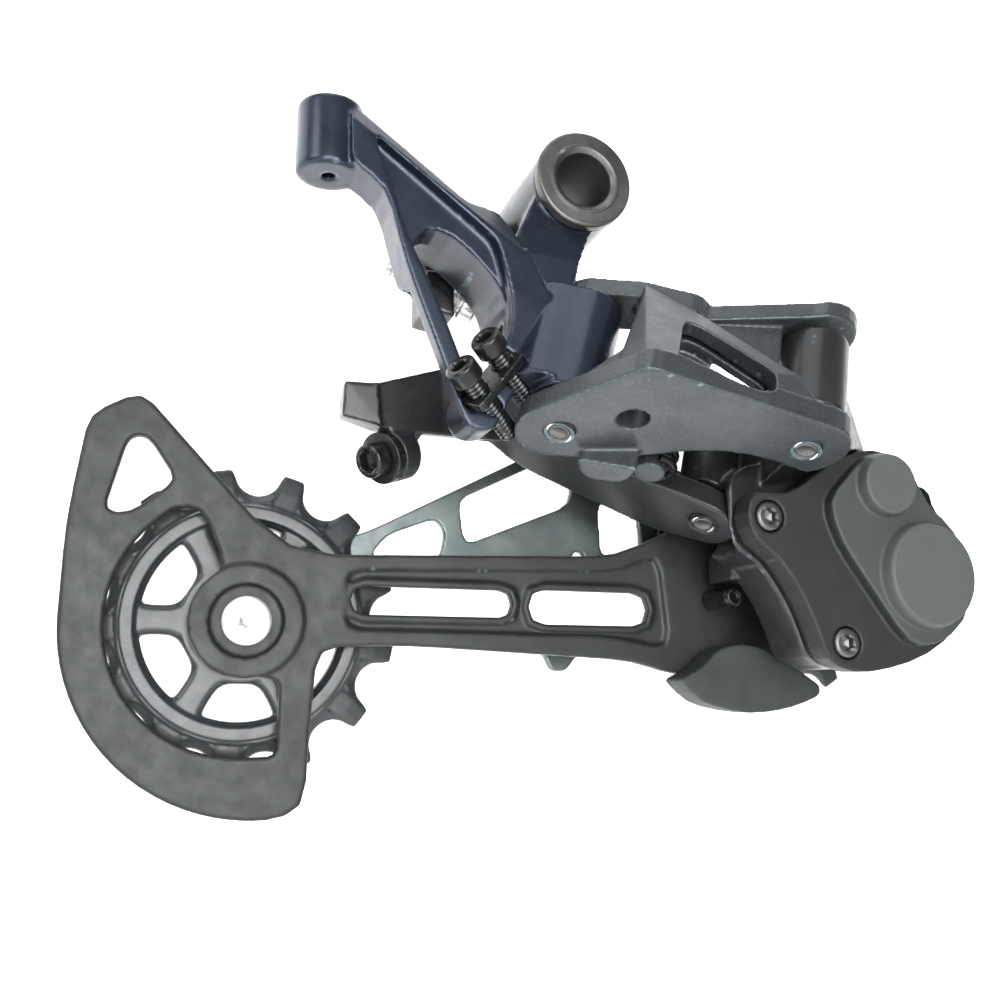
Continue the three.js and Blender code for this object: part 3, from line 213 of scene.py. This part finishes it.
MATERIALS = {
    "knuckle_blue": surface(
        "knuckle_blue_paint", (0.0045, 0.0065, 0.0105), (0.008, 0.011, 0.017), 0.32, 0.6,
        grain_mm=0.24, grain_height=0.012, edge=(0.10, 0.15, 0.19),
        fleck=(0.03, 0.045, 0.066), coat=0.3,
        # Painted light: the knuckle's faces within 12 mm of its outermost face are painted lighter, fading out by
        # 17.5 mm deep
        painted_outer_light=((0.020, 0.028, 0.044), KNUCKLE_FRONT, 17.5, 12)),
    "link_grey": surface(
        "link_grey_paint", (0.052, 0.060, 0.062), (0.070, 0.080, 0.083), 0.42, 0.6,
        grain_mm=0.14, grain_height=0.006, edge=(0.17, 0.25, 0.26),
        fleck=(0.12, 0.14, 0.145), coat=0.15),
    "black_satin": surface(
        "black_satin_paint", (0.014, 0.0148, 0.016), (0.023, 0.0242, 0.026), 0.36, 0.3,
        grain_mm=0.18, grain_height=0.007, edge=(0.08, 0.083, 0.087), coat=0.2),
    "cage_black": surface(
        "cage_black_coat", (0.019, 0.0202, 0.021), (0.027, 0.0285, 0.0294), 0.46, 0.35,
        grain_mm=0.14, grain_height=0.008, edge=(0.10, 0.11, 0.112), streak=1.2),
    "inner_grey": surface(
        "inner_grey_anodised", (0.085, 0.104, 0.100), (0.13, 0.15, 0.145), 0.34, 0.8,
        grain_mm=0.1, grain_height=0.003, edge=(0.30, 0.34, 0.33)),
    "cover_charcoal": surface(
        "cover_moulding", (0.006, 0.0064, 0.0067), (0.009, 0.0095, 0.010), 0.56, 0.0,
        grain_mm=0.10, grain_height=0.012, edge=(0.045, 0.046, 0.047), edge_from=0.55,
        # Painted light: the cover's outermost faces are painted lighter down to 5.2 mm deep, standing in for the
        # light on its facets
        painted_outer_light=((0.068, 0.072, 0.071), COVER_TOP, 5.2, 0.4)),
    "bumper_charcoal": surface(
        "bumper_moulding", (0.020, 0.0225, 0.0225), (0.030, 0.033, 0.033), 0.64, 0.0,
        grain_mm=0.12, grain_height=0.016),
    "pulley_black": surface(
        "pulley_moulding", (0.018, 0.020, 0.0215), (0.028, 0.0305, 0.032), 0.34, 0.0,
        grain_mm=0.3, grain_height=0.006, edge=(0.05, 0.052, 0.054), coat=0.3),
    "axle_steel": surface(
        "axle_turned_steel", (0.11, 0.108, 0.104), (0.17, 0.167, 0.16), 0.36, 0.85,
        grain_mm=0.15, grain_height=0.008, edge=(0.40, 0.40, 0.39), streak=0.4),
    "screw_steel": surface(
        "screw_black_zinc", (0.030, 0.031, 0.032), (0.048, 0.050, 0.051), 0.24, 0.8,
        grain_mm=0.2, grain_height=0.006, edge=(0.20, 0.20, 0.20)),
    "bright_steel": surface(
        "bright_steel", (0.80, 0.80, 0.78), (0.90, 0.90, 0.88), 0.30, 0.7,
        grain_mm=0.2, grain_height=0.003, edge=(0.9, 0.9, 0.9), streak=0.2),
    "bronze_bush": surface(
        "sintered_bronze", (0.20, 0.12, 0.045), (0.28, 0.17, 0.07), 0.5, 0.8, grain_mm=0.2),
    "spring_steel": surface(
        "spring_oiled_steel", (0.016, 0.016, 0.017), (0.030, 0.030, 0.032), 0.22, 0.8,
        grain_mm=0.2),
    "seal_rubber": surface(
        "seal_rubber", (0.008, 0.008, 0.008), (0.013, 0.013, 0.013), 0.8, 0.0, grain_mm=0.15),
}


# ---------------------------------------------------------------- pieces

def place(name, mesh, node, slot=None, material=None):
    """Links a mesh as a piece that rides on its node's body and takes its node's slot."""
    piece = bpy.data.objects.new(name, mesh)
    bpy.context.scene.collection.objects.link(piece)
    slot = slot or SLOT_OF[node]
    mesh.materials.clear()
    mesh.materials.append(material or MATERIALS[slot])
    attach(piece, BODY_OF[node])
    return piece


def finished(name, mesh, node, slot=None):
    """The same, for a piece that is shown in place of its CAD node."""
    piece = place(name, mesh, node, slot)
    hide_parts(node)
    return piece


def mesh_from(bm, name, angle=math.radians(35)):
    """A shaded mesh from a bmesh, with edges sharper than an angle kept sharp."""
    bmesh.ops.recalc_face_normals(bm, faces=bm.faces)
    mesh = bpy.data.meshes.new(name)
    bm.to_mesh(mesh)
    bm.free()
    mesh.shade_smooth()
    mesh.set_sharp_from_angle(angle=angle)
    return mesh


def basis(direction):
    """Two unit vectors square to a direction and to each other."""
    helper = UP if abs(direction.z) < 0.9 else Vector((1, 0, 0))
    first = helper.cross(direction).normalized()
    return first, direction.cross(first).normalized()


def hex_factor(angle):
    """How far a hexagon's side lies at an angle, for an inner radius of one."""
    return 1 / math.cos((angle + math.pi / 6) % (math.pi / 3) - math.pi / 6)


def turned(rows, start, direction, facets=48, closed=False, pitch=0.8):
    """Lathe rows of (radius, height, kind) in millimetres along a direction into a bmesh.

    A "hex" row follows a hexagon, and a "thread" row rises and falls with the thread's helix."""
    bm = bmesh.new()
    first, second = basis(direction)
    rings = []
    for radius, height, *kind in rows:
        kind = kind[0] if kind else ""
        centre = start + direction * (height * MM)
        if radius == 0:
            rings.append([bm.verts.new(centre)])
            continue
        ring = []
        for k in range(facets):
            angle = 2 * math.pi * k / facets
            reach = radius
            if kind == "hex":
                reach *= hex_factor(angle)
            if kind == "thread":
                phase = (height / pitch - k / facets) % 1
                reach -= 0.26 * pitch * (1 - abs(2 * phase - 1))
            offset = first * math.cos(angle) + second * math.sin(angle)
            ring.append(bm.verts.new(centre + offset * (reach * MM)))
        rings.append(ring)
    pairs = list(zip(rings, rings[1:]))
    if closed:
        pairs.append((rings[-1], rings[0]))
    for low, high in pairs:
        for k in range(facets):
            corner = [low[k % len(low)], low[(k + 1) % len(low)],
                      high[(k + 1) % len(high)], high[k % len(high)]]
            unique = list(dict.fromkeys(corner))
            if len(unique) > 2:
                bm.faces.new(unique)
    return bm


def rounded(rows, radius=0.25, steps=3):
    """Replaces each inner corner of a lathe outline with a small fillet."""
    result = [rows[0]]
    for before, here, after in zip(rows, rows[1:], rows[2:]):
        if len(here) > 2:
            result.append(here)
            continue
        point = Vector(here[:2])
        back = Vector(before[:2]) - point
        ahead = Vector(after[:2]) - point
        reach = min(radius, back.length * 0.45, ahead.length * 0.45)
        if reach < 1e-3:
            result.append(here)
            continue
        start = point + back.normalized() * reach
        end = point + ahead.normalized() * reach
        for k in range(steps + 1):
            t = k / steps
            blend = start * (1 - t) ** 2 + point * 2 * t * (1 - t) + end * t ** 2
            result.append((blend.x, blend.y))
    return result + [rows[-1]]


def thread(radius, low, high, pitch=0.8):
    """Rows of a threaded length."""
    count = max(4, int((high - low) / pitch * 6))
    return [(radius, low + (high - low) * k / count, "thread") for k in range(count + 1)]


def span(node, direction):
    """The start point and length in millimetres of a turned node along its own axis."""
    direction = Vector(direction).normalized()
    first, second = basis(direction)
    points = [vertex.co for vertex in NODES[node].data.vertices]

    def middle(along):
        values = [point.dot(along) for point in points]
        return (min(values) + max(values)) / 2
    heights = [point.dot(direction) for point in points]
    low = min(heights)
    start = direction * low + first * middle(first) + second * middle(second)
    return start, (max(heights) - low) / MM


def socket_screw(node, direction, head, head_length, shank, hexagon, pitch=0.8):
    """A screw with a hexagon socket, filleted head edges and a real helical thread."""
    direction = Vector(direction).normalized()
    start, length = span(node, direction)
    depth = head_length * 0.72
    rows = [
        (0, depth + hexagon * 0.3), (hexagon * 0.5, depth, "hex"), (hexagon * 0.5, 0.35, "hex"),
        (hexagon * 0.64, 0), *rounded([
            (hexagon * 0.66, 0), (head - 0.8, 0), (head - 0.55, 0), (head, 0.3),
            (head, head_length), (shank, head_length), (shank, head_length + 0.4)], 0.35),
        *thread(shank, head_length + 0.4, length - 0.6, pitch),
        (shank * 0.7, length - 0.02), (0, length),
    ]
    mesh = mesh_from(turned(rows, start, direction, pitch=pitch), node)
    return finished(node + "_screw", mesh, node)


def ring_piece(node, direction, inner, outer, fillet=0.2):
    """A washer, cap, sleeve or bush with softened corners."""
    direction = Vector(direction).normalized()
    start, length = span(node, direction)
    middle = (inner, length / 2)
    corners = [middle, (inner, 0), (outer, 0), (outer, length), (inner, length), middle]
    rows = rounded(corners, min(fillet, length * 0.3))[:-1]
    mesh = mesh_from(turned(rows, start, direction, 56, closed=True), node)
    return finished(node + "_ring", mesh, node)


def joined(meshes):
    """One mesh holding several closed ones, for a remesh to fuse."""
    bm = bmesh.new()
    for mesh in meshes:
        bm.from_mesh(mesh)
    bmesh.ops.remove_doubles(bm, verts=bm.verts, dist=1e-8)
    mesh = bpy.data.meshes.new("joined")
    bm.to_mesh(mesh)
    bm.free()
    return mesh


def cast_mesh(mesh, voxel_mm, passes):
    """The mesh as a casting: fused, with every edge and inner corner softened."""
    rough = bpy.data.objects.new("rough", mesh)
    bpy.context.scene.collection.objects.link(rough)
    fuse = rough.modifiers.new("fuse", "REMESH")
    fuse.mode = "VOXEL"
    fuse.voxel_size = voxel_mm * MM * 1
    fuse.use_smooth_shade = True
    soften = rough.modifiers.new("soften", "SMOOTH")
    soften.factor = 0.5
    soften.iterations = passes
    graph = bpy.context.evaluated_depsgraph_get()
    result = bpy.data.meshes.new_from_object(rough.evaluated_get(graph))
    bpy.data.objects.remove(rough)
    return result


def softened(mesh, passes, weight):
    """The mesh smoothed further, by a weight from 0 to 1 at each point."""
    piece = bpy.data.objects.new("softened", mesh)
    bpy.context.scene.collection.objects.link(piece)
    group = piece.vertex_groups.new(name="soft")
    levels = {}
    for vertex in mesh.vertices:
        level = round(max(0, min(1, weight(vertex.co))) * 4)
        levels.setdefault(level, []).append(vertex.index)
    for level, indices in levels.items():
        if level:
            group.add(indices, level / 4, "REPLACE")
    soften = piece.modifiers.new("soften", "SMOOTH")
    soften.vertex_group = "soft"
    soften.iterations = passes
    graph = bpy.context.evaluated_depsgraph_get()
    result = bpy.data.meshes.new_from_object(piece.evaluated_get(graph))
    bpy.data.objects.remove(piece)
    return result


def casting(node, voxel_mm, passes, rounds=(), extra=0, weight=None):
    """A softened copy of a node, with rounds fused over it and extra softening by a weight."""
    mesh = cast_mesh(joined([NODES[node].data, *rounds]), voxel_mm, passes)
    if extra:
        mesh = softened(mesh, extra, weight)
    return finished(node + "_casting", mesh, node)


def tube(points, radius_mm, sides=12):
    """A round wire along points, closed at both ends."""
    bm = bmesh.new()
    rings = []
    for k, point in enumerate(points):
        ahead = points[min(k + 1, len(points) - 1)] - points[max(k - 1, 0)]
        first, second = basis(ahead.normalized())
        ring = []
        for side in range(sides):
            angle = 2 * math.pi * side / sides
            offset = first * math.cos(angle) + second * math.sin(angle)
            ring.append(bm.verts.new(point + offset * (radius_mm * MM)))
        rings.append(ring)
    for low, high in zip(rings, rings[1:]):
        for k in range(sides):
            bm.faces.new((low[k], low[(k + 1) % sides], high[(k + 1) % sides], high[k]))
    bm.faces.new(rings[0])
    bm.faces.new(rings[-1])
    return bm


def coil(node, direction, radius, wire, turns):
    """A spring wound round its node's own axis."""
    direction = Vector(direction).normalized()
    start, length = span(node, direction)
    first, second = basis(direction)
    steps = turns * 28
    points = []
    for k in range(steps + 1):
        angle = 2 * math.pi * turns * k / steps
        rise = wire + (length - 2 * wire) * k / steps
        across = first * math.cos(angle) + second * math.sin(angle)
        points.append(start + across * (radius * MM) + direction * (rise * MM))
    return finished(node + "_coil", mesh_from(tube(points, wire), node), node)


def round_shell(profile, start, direction=OUTBOARD, facets=72):
    """A closed turned solid, to be fused into a casting over its faceted face."""
    return mesh_from(turned(profile, start, direction, facets, closed=True), "round")


# ---------------------------------------------------------------- pulleys

def tooth_radius(angle):
    """Outer radius of the toothed rim at an angle: round roller seats between blunt teeth."""
    step = 2 * math.pi / TEETH
    offset = (angle + step / 2) % step - step / 2
    across = SEAT_CENTRE * math.sin(abs(offset))
    if across < SEAT_RADIUS:
        return SEAT_CENTRE * math.cos(offset) - math.sqrt(SEAT_RADIUS ** 2 - across ** 2)
    shoulder = min(1, (across - SEAT_RADIUS) / TIP_ROUNDING)
    start = SEAT_CENTRE * math.cos(offset)
    return start + (TIP_RADIUS - start) * math.sqrt(1 - (1 - shoulder) ** 2)


def toothed_rim(centre, spin):
    """The rim with its teeth, which thin towards their tips."""
    bm = bmesh.new()
    steps = TEETH * 28
    levels = [0, 0.3, 0.62, 0.85, 1]
    halves = [RIM_HALF_THICKNESS, 1.15, 0.95, 0.62, 0.3]
    rings = []
    for k in range(steps):
        angle = 2 * math.pi * k / steps
        outer = tooth_radius(angle)
        turn = angle + spin
        direction = Vector((math.cos(turn), 0, math.sin(turn)))
        profile = []
        for side in (-1, 1):
            order = range(len(levels)) if side < 0 else reversed(range(len(levels)))
            for i in order:
                radius = RIM_INNER_RADIUS + (outer - RIM_INNER_RADIUS) * levels[i]
                half = halves[i] if radius > TOOTH_FROM_RADIUS else RIM_HALF_THICKNESS
                offset = direction * radius - OUTBOARD * (side * half)
                profile.append(bm.verts.new(centre + offset * MM))
        rings.append(profile)
    for k in range(steps):
        here, ahead = rings[k], rings[(k + 1) % steps]
        for i in range(len(here)):
            j = (i + 1) % len(here)
            bm.faces.new((here[i], here[j], ahead[j], ahead[i]))
    return mesh_from(bm, "toothed_rim")


def spoke(centre, angle, inner, outer, width, half):
    """One crowned spoke between the hub and the rim, wider at both ends."""
    bm = bmesh.new()
    rings = []
    along = Vector((math.cos(angle), 0, math.sin(angle)))
    across = Vector((-math.sin(angle), 0, math.cos(angle)))
    for k in range(9):
        t = k / 8
        flare = 1 + 0.9 * (2 * t - 1) ** 4
        radius = inner + (outer - inner) * t
        ring = []
        for s in range(16):
            turn = 2 * math.pi * s / 16
            x = math.copysign(abs(math.cos(turn)) ** 0.6, math.cos(turn)) * width * flare / 2
            y = math.copysign(abs(math.sin(turn)) ** 0.6, math.sin(turn)) * half
            ring.append(bm.verts.new(centre + (along * radius + across * x + OUTBOARD * y) * MM))
        rings.append(ring)
    for low, high in zip(rings, rings[1:]):
        for s in range(16):
            bm.faces.new((low[s], low[(s + 1) % 16], high[(s + 1) % 16], high[s]))
    bm.faces.new(rings[0])
    bm.faces.new(rings[-1])
    return mesh_from(bm, "spoke")


def centre_of(node):
    low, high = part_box(node)
    return (low + high) / 2


def pulley(node, spin_degrees):
    """A pulley with its rim, hub and spokes fused, its first tooth turned by an angle."""
    centre = centre_of(node)
    spin = math.radians(spin_degrees)

    def ring(inner, outer, half):
        middle = (inner, 0)
        corners = [middle, (inner, -half), (outer, -half), (outer, half), (inner, half), middle]
        return round_shell(rounded(corners, 0.5)[:-1], centre)
    parts = [
        toothed_rim(centre, spin), ring(18.7, 21.5, 2.1), ring(17.9, 20, 1.5),
        ring(4.1, 7.4, 2.8), ring(6.5, 11.2, 1.6),
    ]
    for k in range(SPOKES):
        angle = spin + math.radians(360 / SPOKES * k - 3.7)
        parts.append(spoke(centre, angle, 10, 19.4, 5.4, 1.6))
    mesh = cast_mesh(joined(parts), 0.3, 3)
    return finished(node + "_wheel", mesh, node)


# ---------------------------------------------------------------- the part

def pin_shell(node, low, high, inner, outer):
    """A round sleeve on a link pin's axis, between two heights from the pin's start."""
    axis = Vector(JOINTS["link_swing"]["axis"]).normalized()
    start, _ = span(node, axis)
    return round_shell([(inner, low), (outer, low), (outer, high), (inner, high)], start, axis)


def make_castings():
    """Castings, plates and mouldings, with round shells fused over their faceted barrels."""
    axle = centre_of("b_axle")
    barrel = [(8.4, 5), (9.35, 5), (9.35, 27.2), (8.4, 27.2)]
    barrel_start = Vector((axle.x, 0, axle.z))
    seat = Vector(MOUNTS["housing_seat_face"]["pos_m"]) - Vector((2.1 * MM, 0, 0))
    middle = (3.25, 4)
    boss = rounded([middle, (3.25, 8.1), (5.9, 8.1), (5.9, -5), (3.25, -5), middle], 0.8)[:-1]
    casting("b_knuckle", 0.36, 4, [
        round_shell(barrel, barrel_start), round_shell(boss, seat, UP),
        pin_shell("outer_pin_b", 6, 28.2, 3.7, 6.45),
        pin_shell("inner_pin_b", 6.2, 20.6, 3.7, 5.75),
    ], extra=26, weight=lambda point: (point.y / MM - STRUT_BACK_Y) / STRUT_BLEND)
    casting("outer_link", 0.33, 4)
    casting("inner_link", 0.33, 5)
    casting("p_knuckle", 0.38, 6, [
        pin_shell("outer_pin_p", 6.6, 24, 3.7, 6.45), pin_shell("inner_pin_p", 6.6, 25, 3.7, 5.75)])
    casting("cage_outer_plate", 0.34, 5)
    casting("cage_inner_plate", 0.3, 3)
    casting("cage_bumper", 0.33, 4)
    casting("bracket_link", 0.36, 4)
    casting("clutch_switch_lever", 0.22, 3)
    casting("limit_stop_plate", 0.16, 3)
    pivot = Vector(JOINTS["cage_pivot"]["pos_m"])
    big = Vector((pivot.x, 0, pivot.z))
    disc = [(9.9, 34), (10.85, 34), (10.45, 38.6), (9.6, 41.25), (9.2, 41.6), (3, 41.6), (3, 40),
            (9, 39.6)]
    casting("clutch_cover", 0.26, 2, [round_shell(disc, big)])


def make_axles():
    """The hollow B-axle, the four link pins, the P-axle and the cage's stop pin."""
    start, face = span("b_axle", OUTBOARD)
    rows = rounded([
        (5.4, face / 2), (5.4, face - 0.7), (6.3, face), (6.9, face), (7.0, face - 0.25),
        (9.2, face - 0.25), (9.6, face - 0.6), (9.6, face - 2.4), (7.2, face - 2.4), (7.2, 0.4),
        (6.8, 0), (5.4, 0), (5.4, face / 2)], 0.18)[:-1]
    mesh = mesh_from(turned(rows, start, OUTBOARD, 96, closed=True), "b_axle")
    finished("b_axle_turned", mesh, "b_axle")
    pin_axis = Vector(JOINTS["link_swing"]["axis"]).normalized()
    for node in ("outer_pin_b", "outer_pin_p", "inner_pin_b", "inner_pin_p"):
        start, length = span(node, pin_axis)
        rows = [(0, 0.12), (1.35, 0.1), (1.5, 0.0), *rounded([
            (1.6, -0.05), (PIN_END_RADIUS - 0.02, 0), (PIN_END_RADIUS, PIN_END_DEPTH),
            (PIN_RADIUS, PIN_END_DEPTH), (PIN_RADIUS, length), (0.4, length), (0, length)], 0.1)]
        finished(node + "_turned", mesh_from(turned(rows, start, pin_axis), node), node)
    start, length = span("p_axle", OUTBOARD)
    rows = rounded([
        (0, 0), (4.14, 0), (4.14, 3), (5.2, 3), (5.2, length - 0.5), (4.7, length),
        (0, length)], 0.2)
    finished("p_axle_turned", mesh_from(turned(rows, start, OUTBOARD), "p_axle"), "p_axle")
    start, length = span("stop_pin", OUTBOARD)
    rows = rounded([
        (0, 0), (1.44, 0), (1.44, 2.6), (2.1, 2.6), (2.1, length - 0.9), (1.6, length),
        (1.05, length), (0.9, length - 0.5), (0, length - 0.6)], 0.2)
    finished("stop_pin_turned", mesh_from(turned(rows, start, OUTBOARD), "stop_pin"), "stop_pin")


def make_screws():
    """Each screw by its head's radius and length, its shank's radius and its hexagon's width."""
    limit = JOINTS["limit_screw_top_travel"]["axis"]
    for node in ("limit_screw_top", "limit_screw_low"):
        socket_screw(node, limit, 2.8, 3.4, 1.9, 2.5)
    socket_screw("b_tension_screw", JOINTS["b_tension_screw_travel"]["axis"], 3.2, 3, 1.95, 2.5)
    clamp = -Vector(JOINTS["cable_clamp_travel"]["axis"])
    socket_screw("cable_clamp_bolt", clamp, 3.2, 3.2, 1.9, 4)
    for node in ("cover_bolt_1", "cover_bolt_2"):
        socket_screw(node, (0, 1, 0), 2.75, 2.1, 1.5, 2.5, pitch=0.5)
    socket_screw("tension_bolt", (0, 1, 0), 4.4, 1.5, 2.1, 2.6)
    socket_screw("guide_bolt", (0, -1, 0), 4.0, 2.1, 2.1, 3)
    socket_screw("hanger_bolt", (0, 1, 0), 5.8, 3.6, 4.9, 5, pitch=1.0)
    ring_piece("cable_clamp_washer", clamp, 2.1, 4.9)


def make_small_rings():
    """Sleeves, dust caps, seals and bushes by their inner and outer radii."""
    for name in ("tension", "guide"):
        ring_piece(name + "_sleeve", OUTBOARD, 2.6, 4.0)
        ring_piece(name + "_cap_outboard", OUTBOARD, 4.2, 7.2, 0.12)
        ring_piece(name + "_cap_inboard", OUTBOARD, 4.2, 7.2, 0.12)
    ring_piece("cage_seal", OUTBOARD, 6.5, 9.3, 0.1)
    ring_piece("roller_clutch", OUTBOARD, 5.27, 7.6)
    ring_piece("p_bush", OUTBOARD, 5.27, 6.17)
    for node in ("b_bush_outboard", "b_bush_inboard"):
        ring_piece(node, OUTBOARD, 7.27, 8.24)
    pin_axis = JOINTS["link_swing"]["axis"]
    for node in ("bush_outer_b", "bush_inner_b", "bush_outer_p", "bush_inner_p"):
        ring_piece(node, pin_axis, 2.67, 3.53)


def make_springs():
    """The link's return spring and the cage's spring."""
    coil("return_spring", JOINTS["link_swing"]["axis"], 4.3, 0.7, 5)
    coil("cage_spring", OUTBOARD, 7.9, 1.0, 5)


def stake_marks():
    """The link's own metal pressed over each pin's edge, with bright slivers beside it."""
    pin_axis = Vector(JOINTS["link_swing"]["axis"]).normalized()
    across = Vector((1, 0, -0.25))
    first = (across - pin_axis * across.dot(pin_axis)).normalized()
    second = pin_axis.cross(first)
    for node, slot in (("outer_pin_b", "link_grey"), ("outer_pin_p", "link_grey"),
                       ("inner_pin_p", "black_satin")):
        start, _ = span(node, pin_axis)
        rows = [(1.95, 0.5), (1.95, 0.06), (2.1, -0.08), (2.75, -0.1), (2.75, 0.05), (2.62, 0.5)]
        name = node + "_swage"
        place(name, mesh_from(turned(rows, start, pin_axis, 56, closed=True), name), node, slot)
        for side in (-1, 1):
            bm = bmesh.new()
            bmesh.ops.create_uvsphere(bm, u_segments=20, v_segments=12, radius=1)
            for vertex in bm.verts:
                x, y, z = vertex.co
                bend = side * (2.25 + 0.24 * x - 0.3 * y * y)
                slide = 1.2 * y + side * 0.5
                point = first * bend + second * slide + pin_axis * (0.12 * z - 0.06)
                vertex.co = start + point * MM
            name = f"{node}_stake_{'left' if side < 0 else 'right'}"
            place(name, mesh_from(bm, name), node, "bright_steel")


def dress_remaining():
    """Nodes whose CAD shape stays: softened edges and their slot's material."""
    for node, piece in NODES.items():
        if piece.hide_render:
            continue
        piece.data.materials.clear()
        piece.data.materials.append(MATERIALS[SLOT_OF[node]])
        edges = piece.modifiers.new("edges", "BEVEL")
        edges.width = 0.15 * MM
        edges.segments = 2
        edges.limit_method = "ANGLE"


# ---------------------------------------------------------------- studio

FLOOR_DROP = 0.16
BACKING_GAP = 0.003


def stage_material(name, value, glow, hidden_from_behind):
    """A matt white that glows a little, and that can be clear from behind."""
    material, tree, bsdf = shader(name)
    bsdf.inputs["Base Color"].default_value = (value, value, value, 1)
    bsdf.inputs["Roughness"].default_value = 0.9
    bsdf.inputs["Emission Color"].default_value = (1, 1, 1, 1)
    bsdf.inputs["Emission Strength"].default_value = glow
    if hidden_from_behind:
        output = tree.nodes["Material Output"]
        clear = tree.nodes.new("ShaderNodeBsdfTransparent")
        choose = tree.nodes.new("ShaderNodeMixShader")
        facing = tree.nodes.new("ShaderNodeNewGeometry")
        tree.links.new(facing.outputs["Backfacing"], choose.inputs["Fac"])
        tree.links.new(bsdf.outputs["BSDF"], choose.inputs[1])
        tree.links.new(clear.outputs["BSDF"], choose.inputs[2])
        tree.links.new(choose.outputs["Shader"], output.inputs["Surface"])
    return material


def sheet(name, centre, across, up, half, material):
    """A flat square, for a backdrop or floor. It faces the way that across turned to up does."""
    mesh = bpy.data.meshes.new(name)
    corners = [centre + across * (x * half) + up * (y * half)
               for x, y in ((-1, -1), (1, -1), (1, 1), (-1, 1))]
    mesh.from_pydata(corners, [], [(0, 1, 2, 3)])
    mesh.materials.append(material)
    piece = bpy.data.objects.new(name, mesh)
    bpy.context.scene.collection.objects.link(piece)
    return piece


def area_light(name, location, target, size, power, colour):
    """A round soft lamp that faces a target."""
    data = bpy.data.lights.new(name, "AREA")
    data.shape = "DISK"
    data.size = size
    data.energy = power
    data.color = colour
    lamp = bpy.data.objects.new(name, data)
    lamp.location = location
    lamp.rotation_euler = (Vector(target) - Vector(location)).to_track_quat("-Z", "Y").to_euler()
    bpy.context.scene.collection.objects.link(lamp)


def make_camera():
    """The photograph's view: from outboard, a little behind and below the part."""
    right = Vector((0.9459, -0.3246, 0)).normalized()
    up = Vector((-0.0589, -0.1716, 0.9835)).normalized()
    back = right.cross(up)
    data = bpy.data.cameras.new("camera")
    data.sensor_width = 36
    data.lens = 36.108
    data.clip_start = 0.005
    camera = bpy.data.objects.new("camera", data)
    matrix = Matrix((right, up, back)).transposed().to_4x4()
    matrix.translation = Vector((-0.0525, -0.1916, -0.0842))
    camera.matrix_world = matrix
    bpy.context.scene.collection.objects.link(camera)
    bpy.context.scene.camera = camera


def make_studio():
    """A pale floor well below, a white backing close behind, three lamps and a soft sky."""
    low, high = (Vector(corner) for corner in cad_bounds)
    middle = (low + high) / 2
    forward = Vector((1, 0, 0))
    floor_centre = Vector((middle.x, middle.y, low.z - FLOOR_DROP))
    sheet("floor", floor_centre, forward, Vector((0, 1, 0)), 1.6,
          stage_material("pale_floor", 0.82, 0.1, False))
    backing_centre = Vector((middle.x, high.y + BACKING_GAP, middle.z))
    sheet("backing", backing_centre, forward, UP, 0.6,
          stage_material("pale_backing", 0.9, 0.93, True))
    world = bpy.data.worlds.new("studio")
    bpy.context.scene.world = world
    world.use_nodes = True
    tree = world.node_tree
    where = tree.nodes.new("ShaderNodeTexCoord")
    split = tree.nodes.new("ShaderNodeSeparateXYZ")
    tree.links.new(where.outputs["Generated"], split.inputs["Vector"])
    height = tree.nodes.new("ShaderNodeMapRange")
    height.inputs["From Min"].default_value = -1
    tree.links.new(split.outputs["Z"], height.inputs["Value"])
    sky = ramp(tree, height.outputs["Result"],
               [(0.25, (0.34,) * 3), (0.5, (0.24, 0.25, 0.26)), (0.85, (0.8,) * 3)])
    tree.links.new(sky, tree.nodes["Background"].inputs["Color"])
    tree.nodes["Background"].inputs["Strength"].default_value = 0.36
    area_light("front", (-0.06, -0.62, -0.06), (0.02, 0, -0.04), 0.5, 5.4, (0.97, 0.985, 1.0))
    area_light("overhead", (-0.05, -0.25, 0.55), (0.02, 0, -0.03), 0.5, 1.2, (0.94, 0.975, 1.0))
    area_light("window", (-0.5, -0.35, 0.2), (0, 0, -0.04), 0.3, 1.2, (0.95, 0.98, 1.0))


bpy.context.scene.view_settings.view_transform = "Standard"
make_camera()
make_castings()
make_axles()
make_screws()
make_small_rings()
make_springs()
pulley("tension_pulley", 3.3)
pulley("guide_pulley", 10)
stake_marks()
dress_remaining()
make_studio()
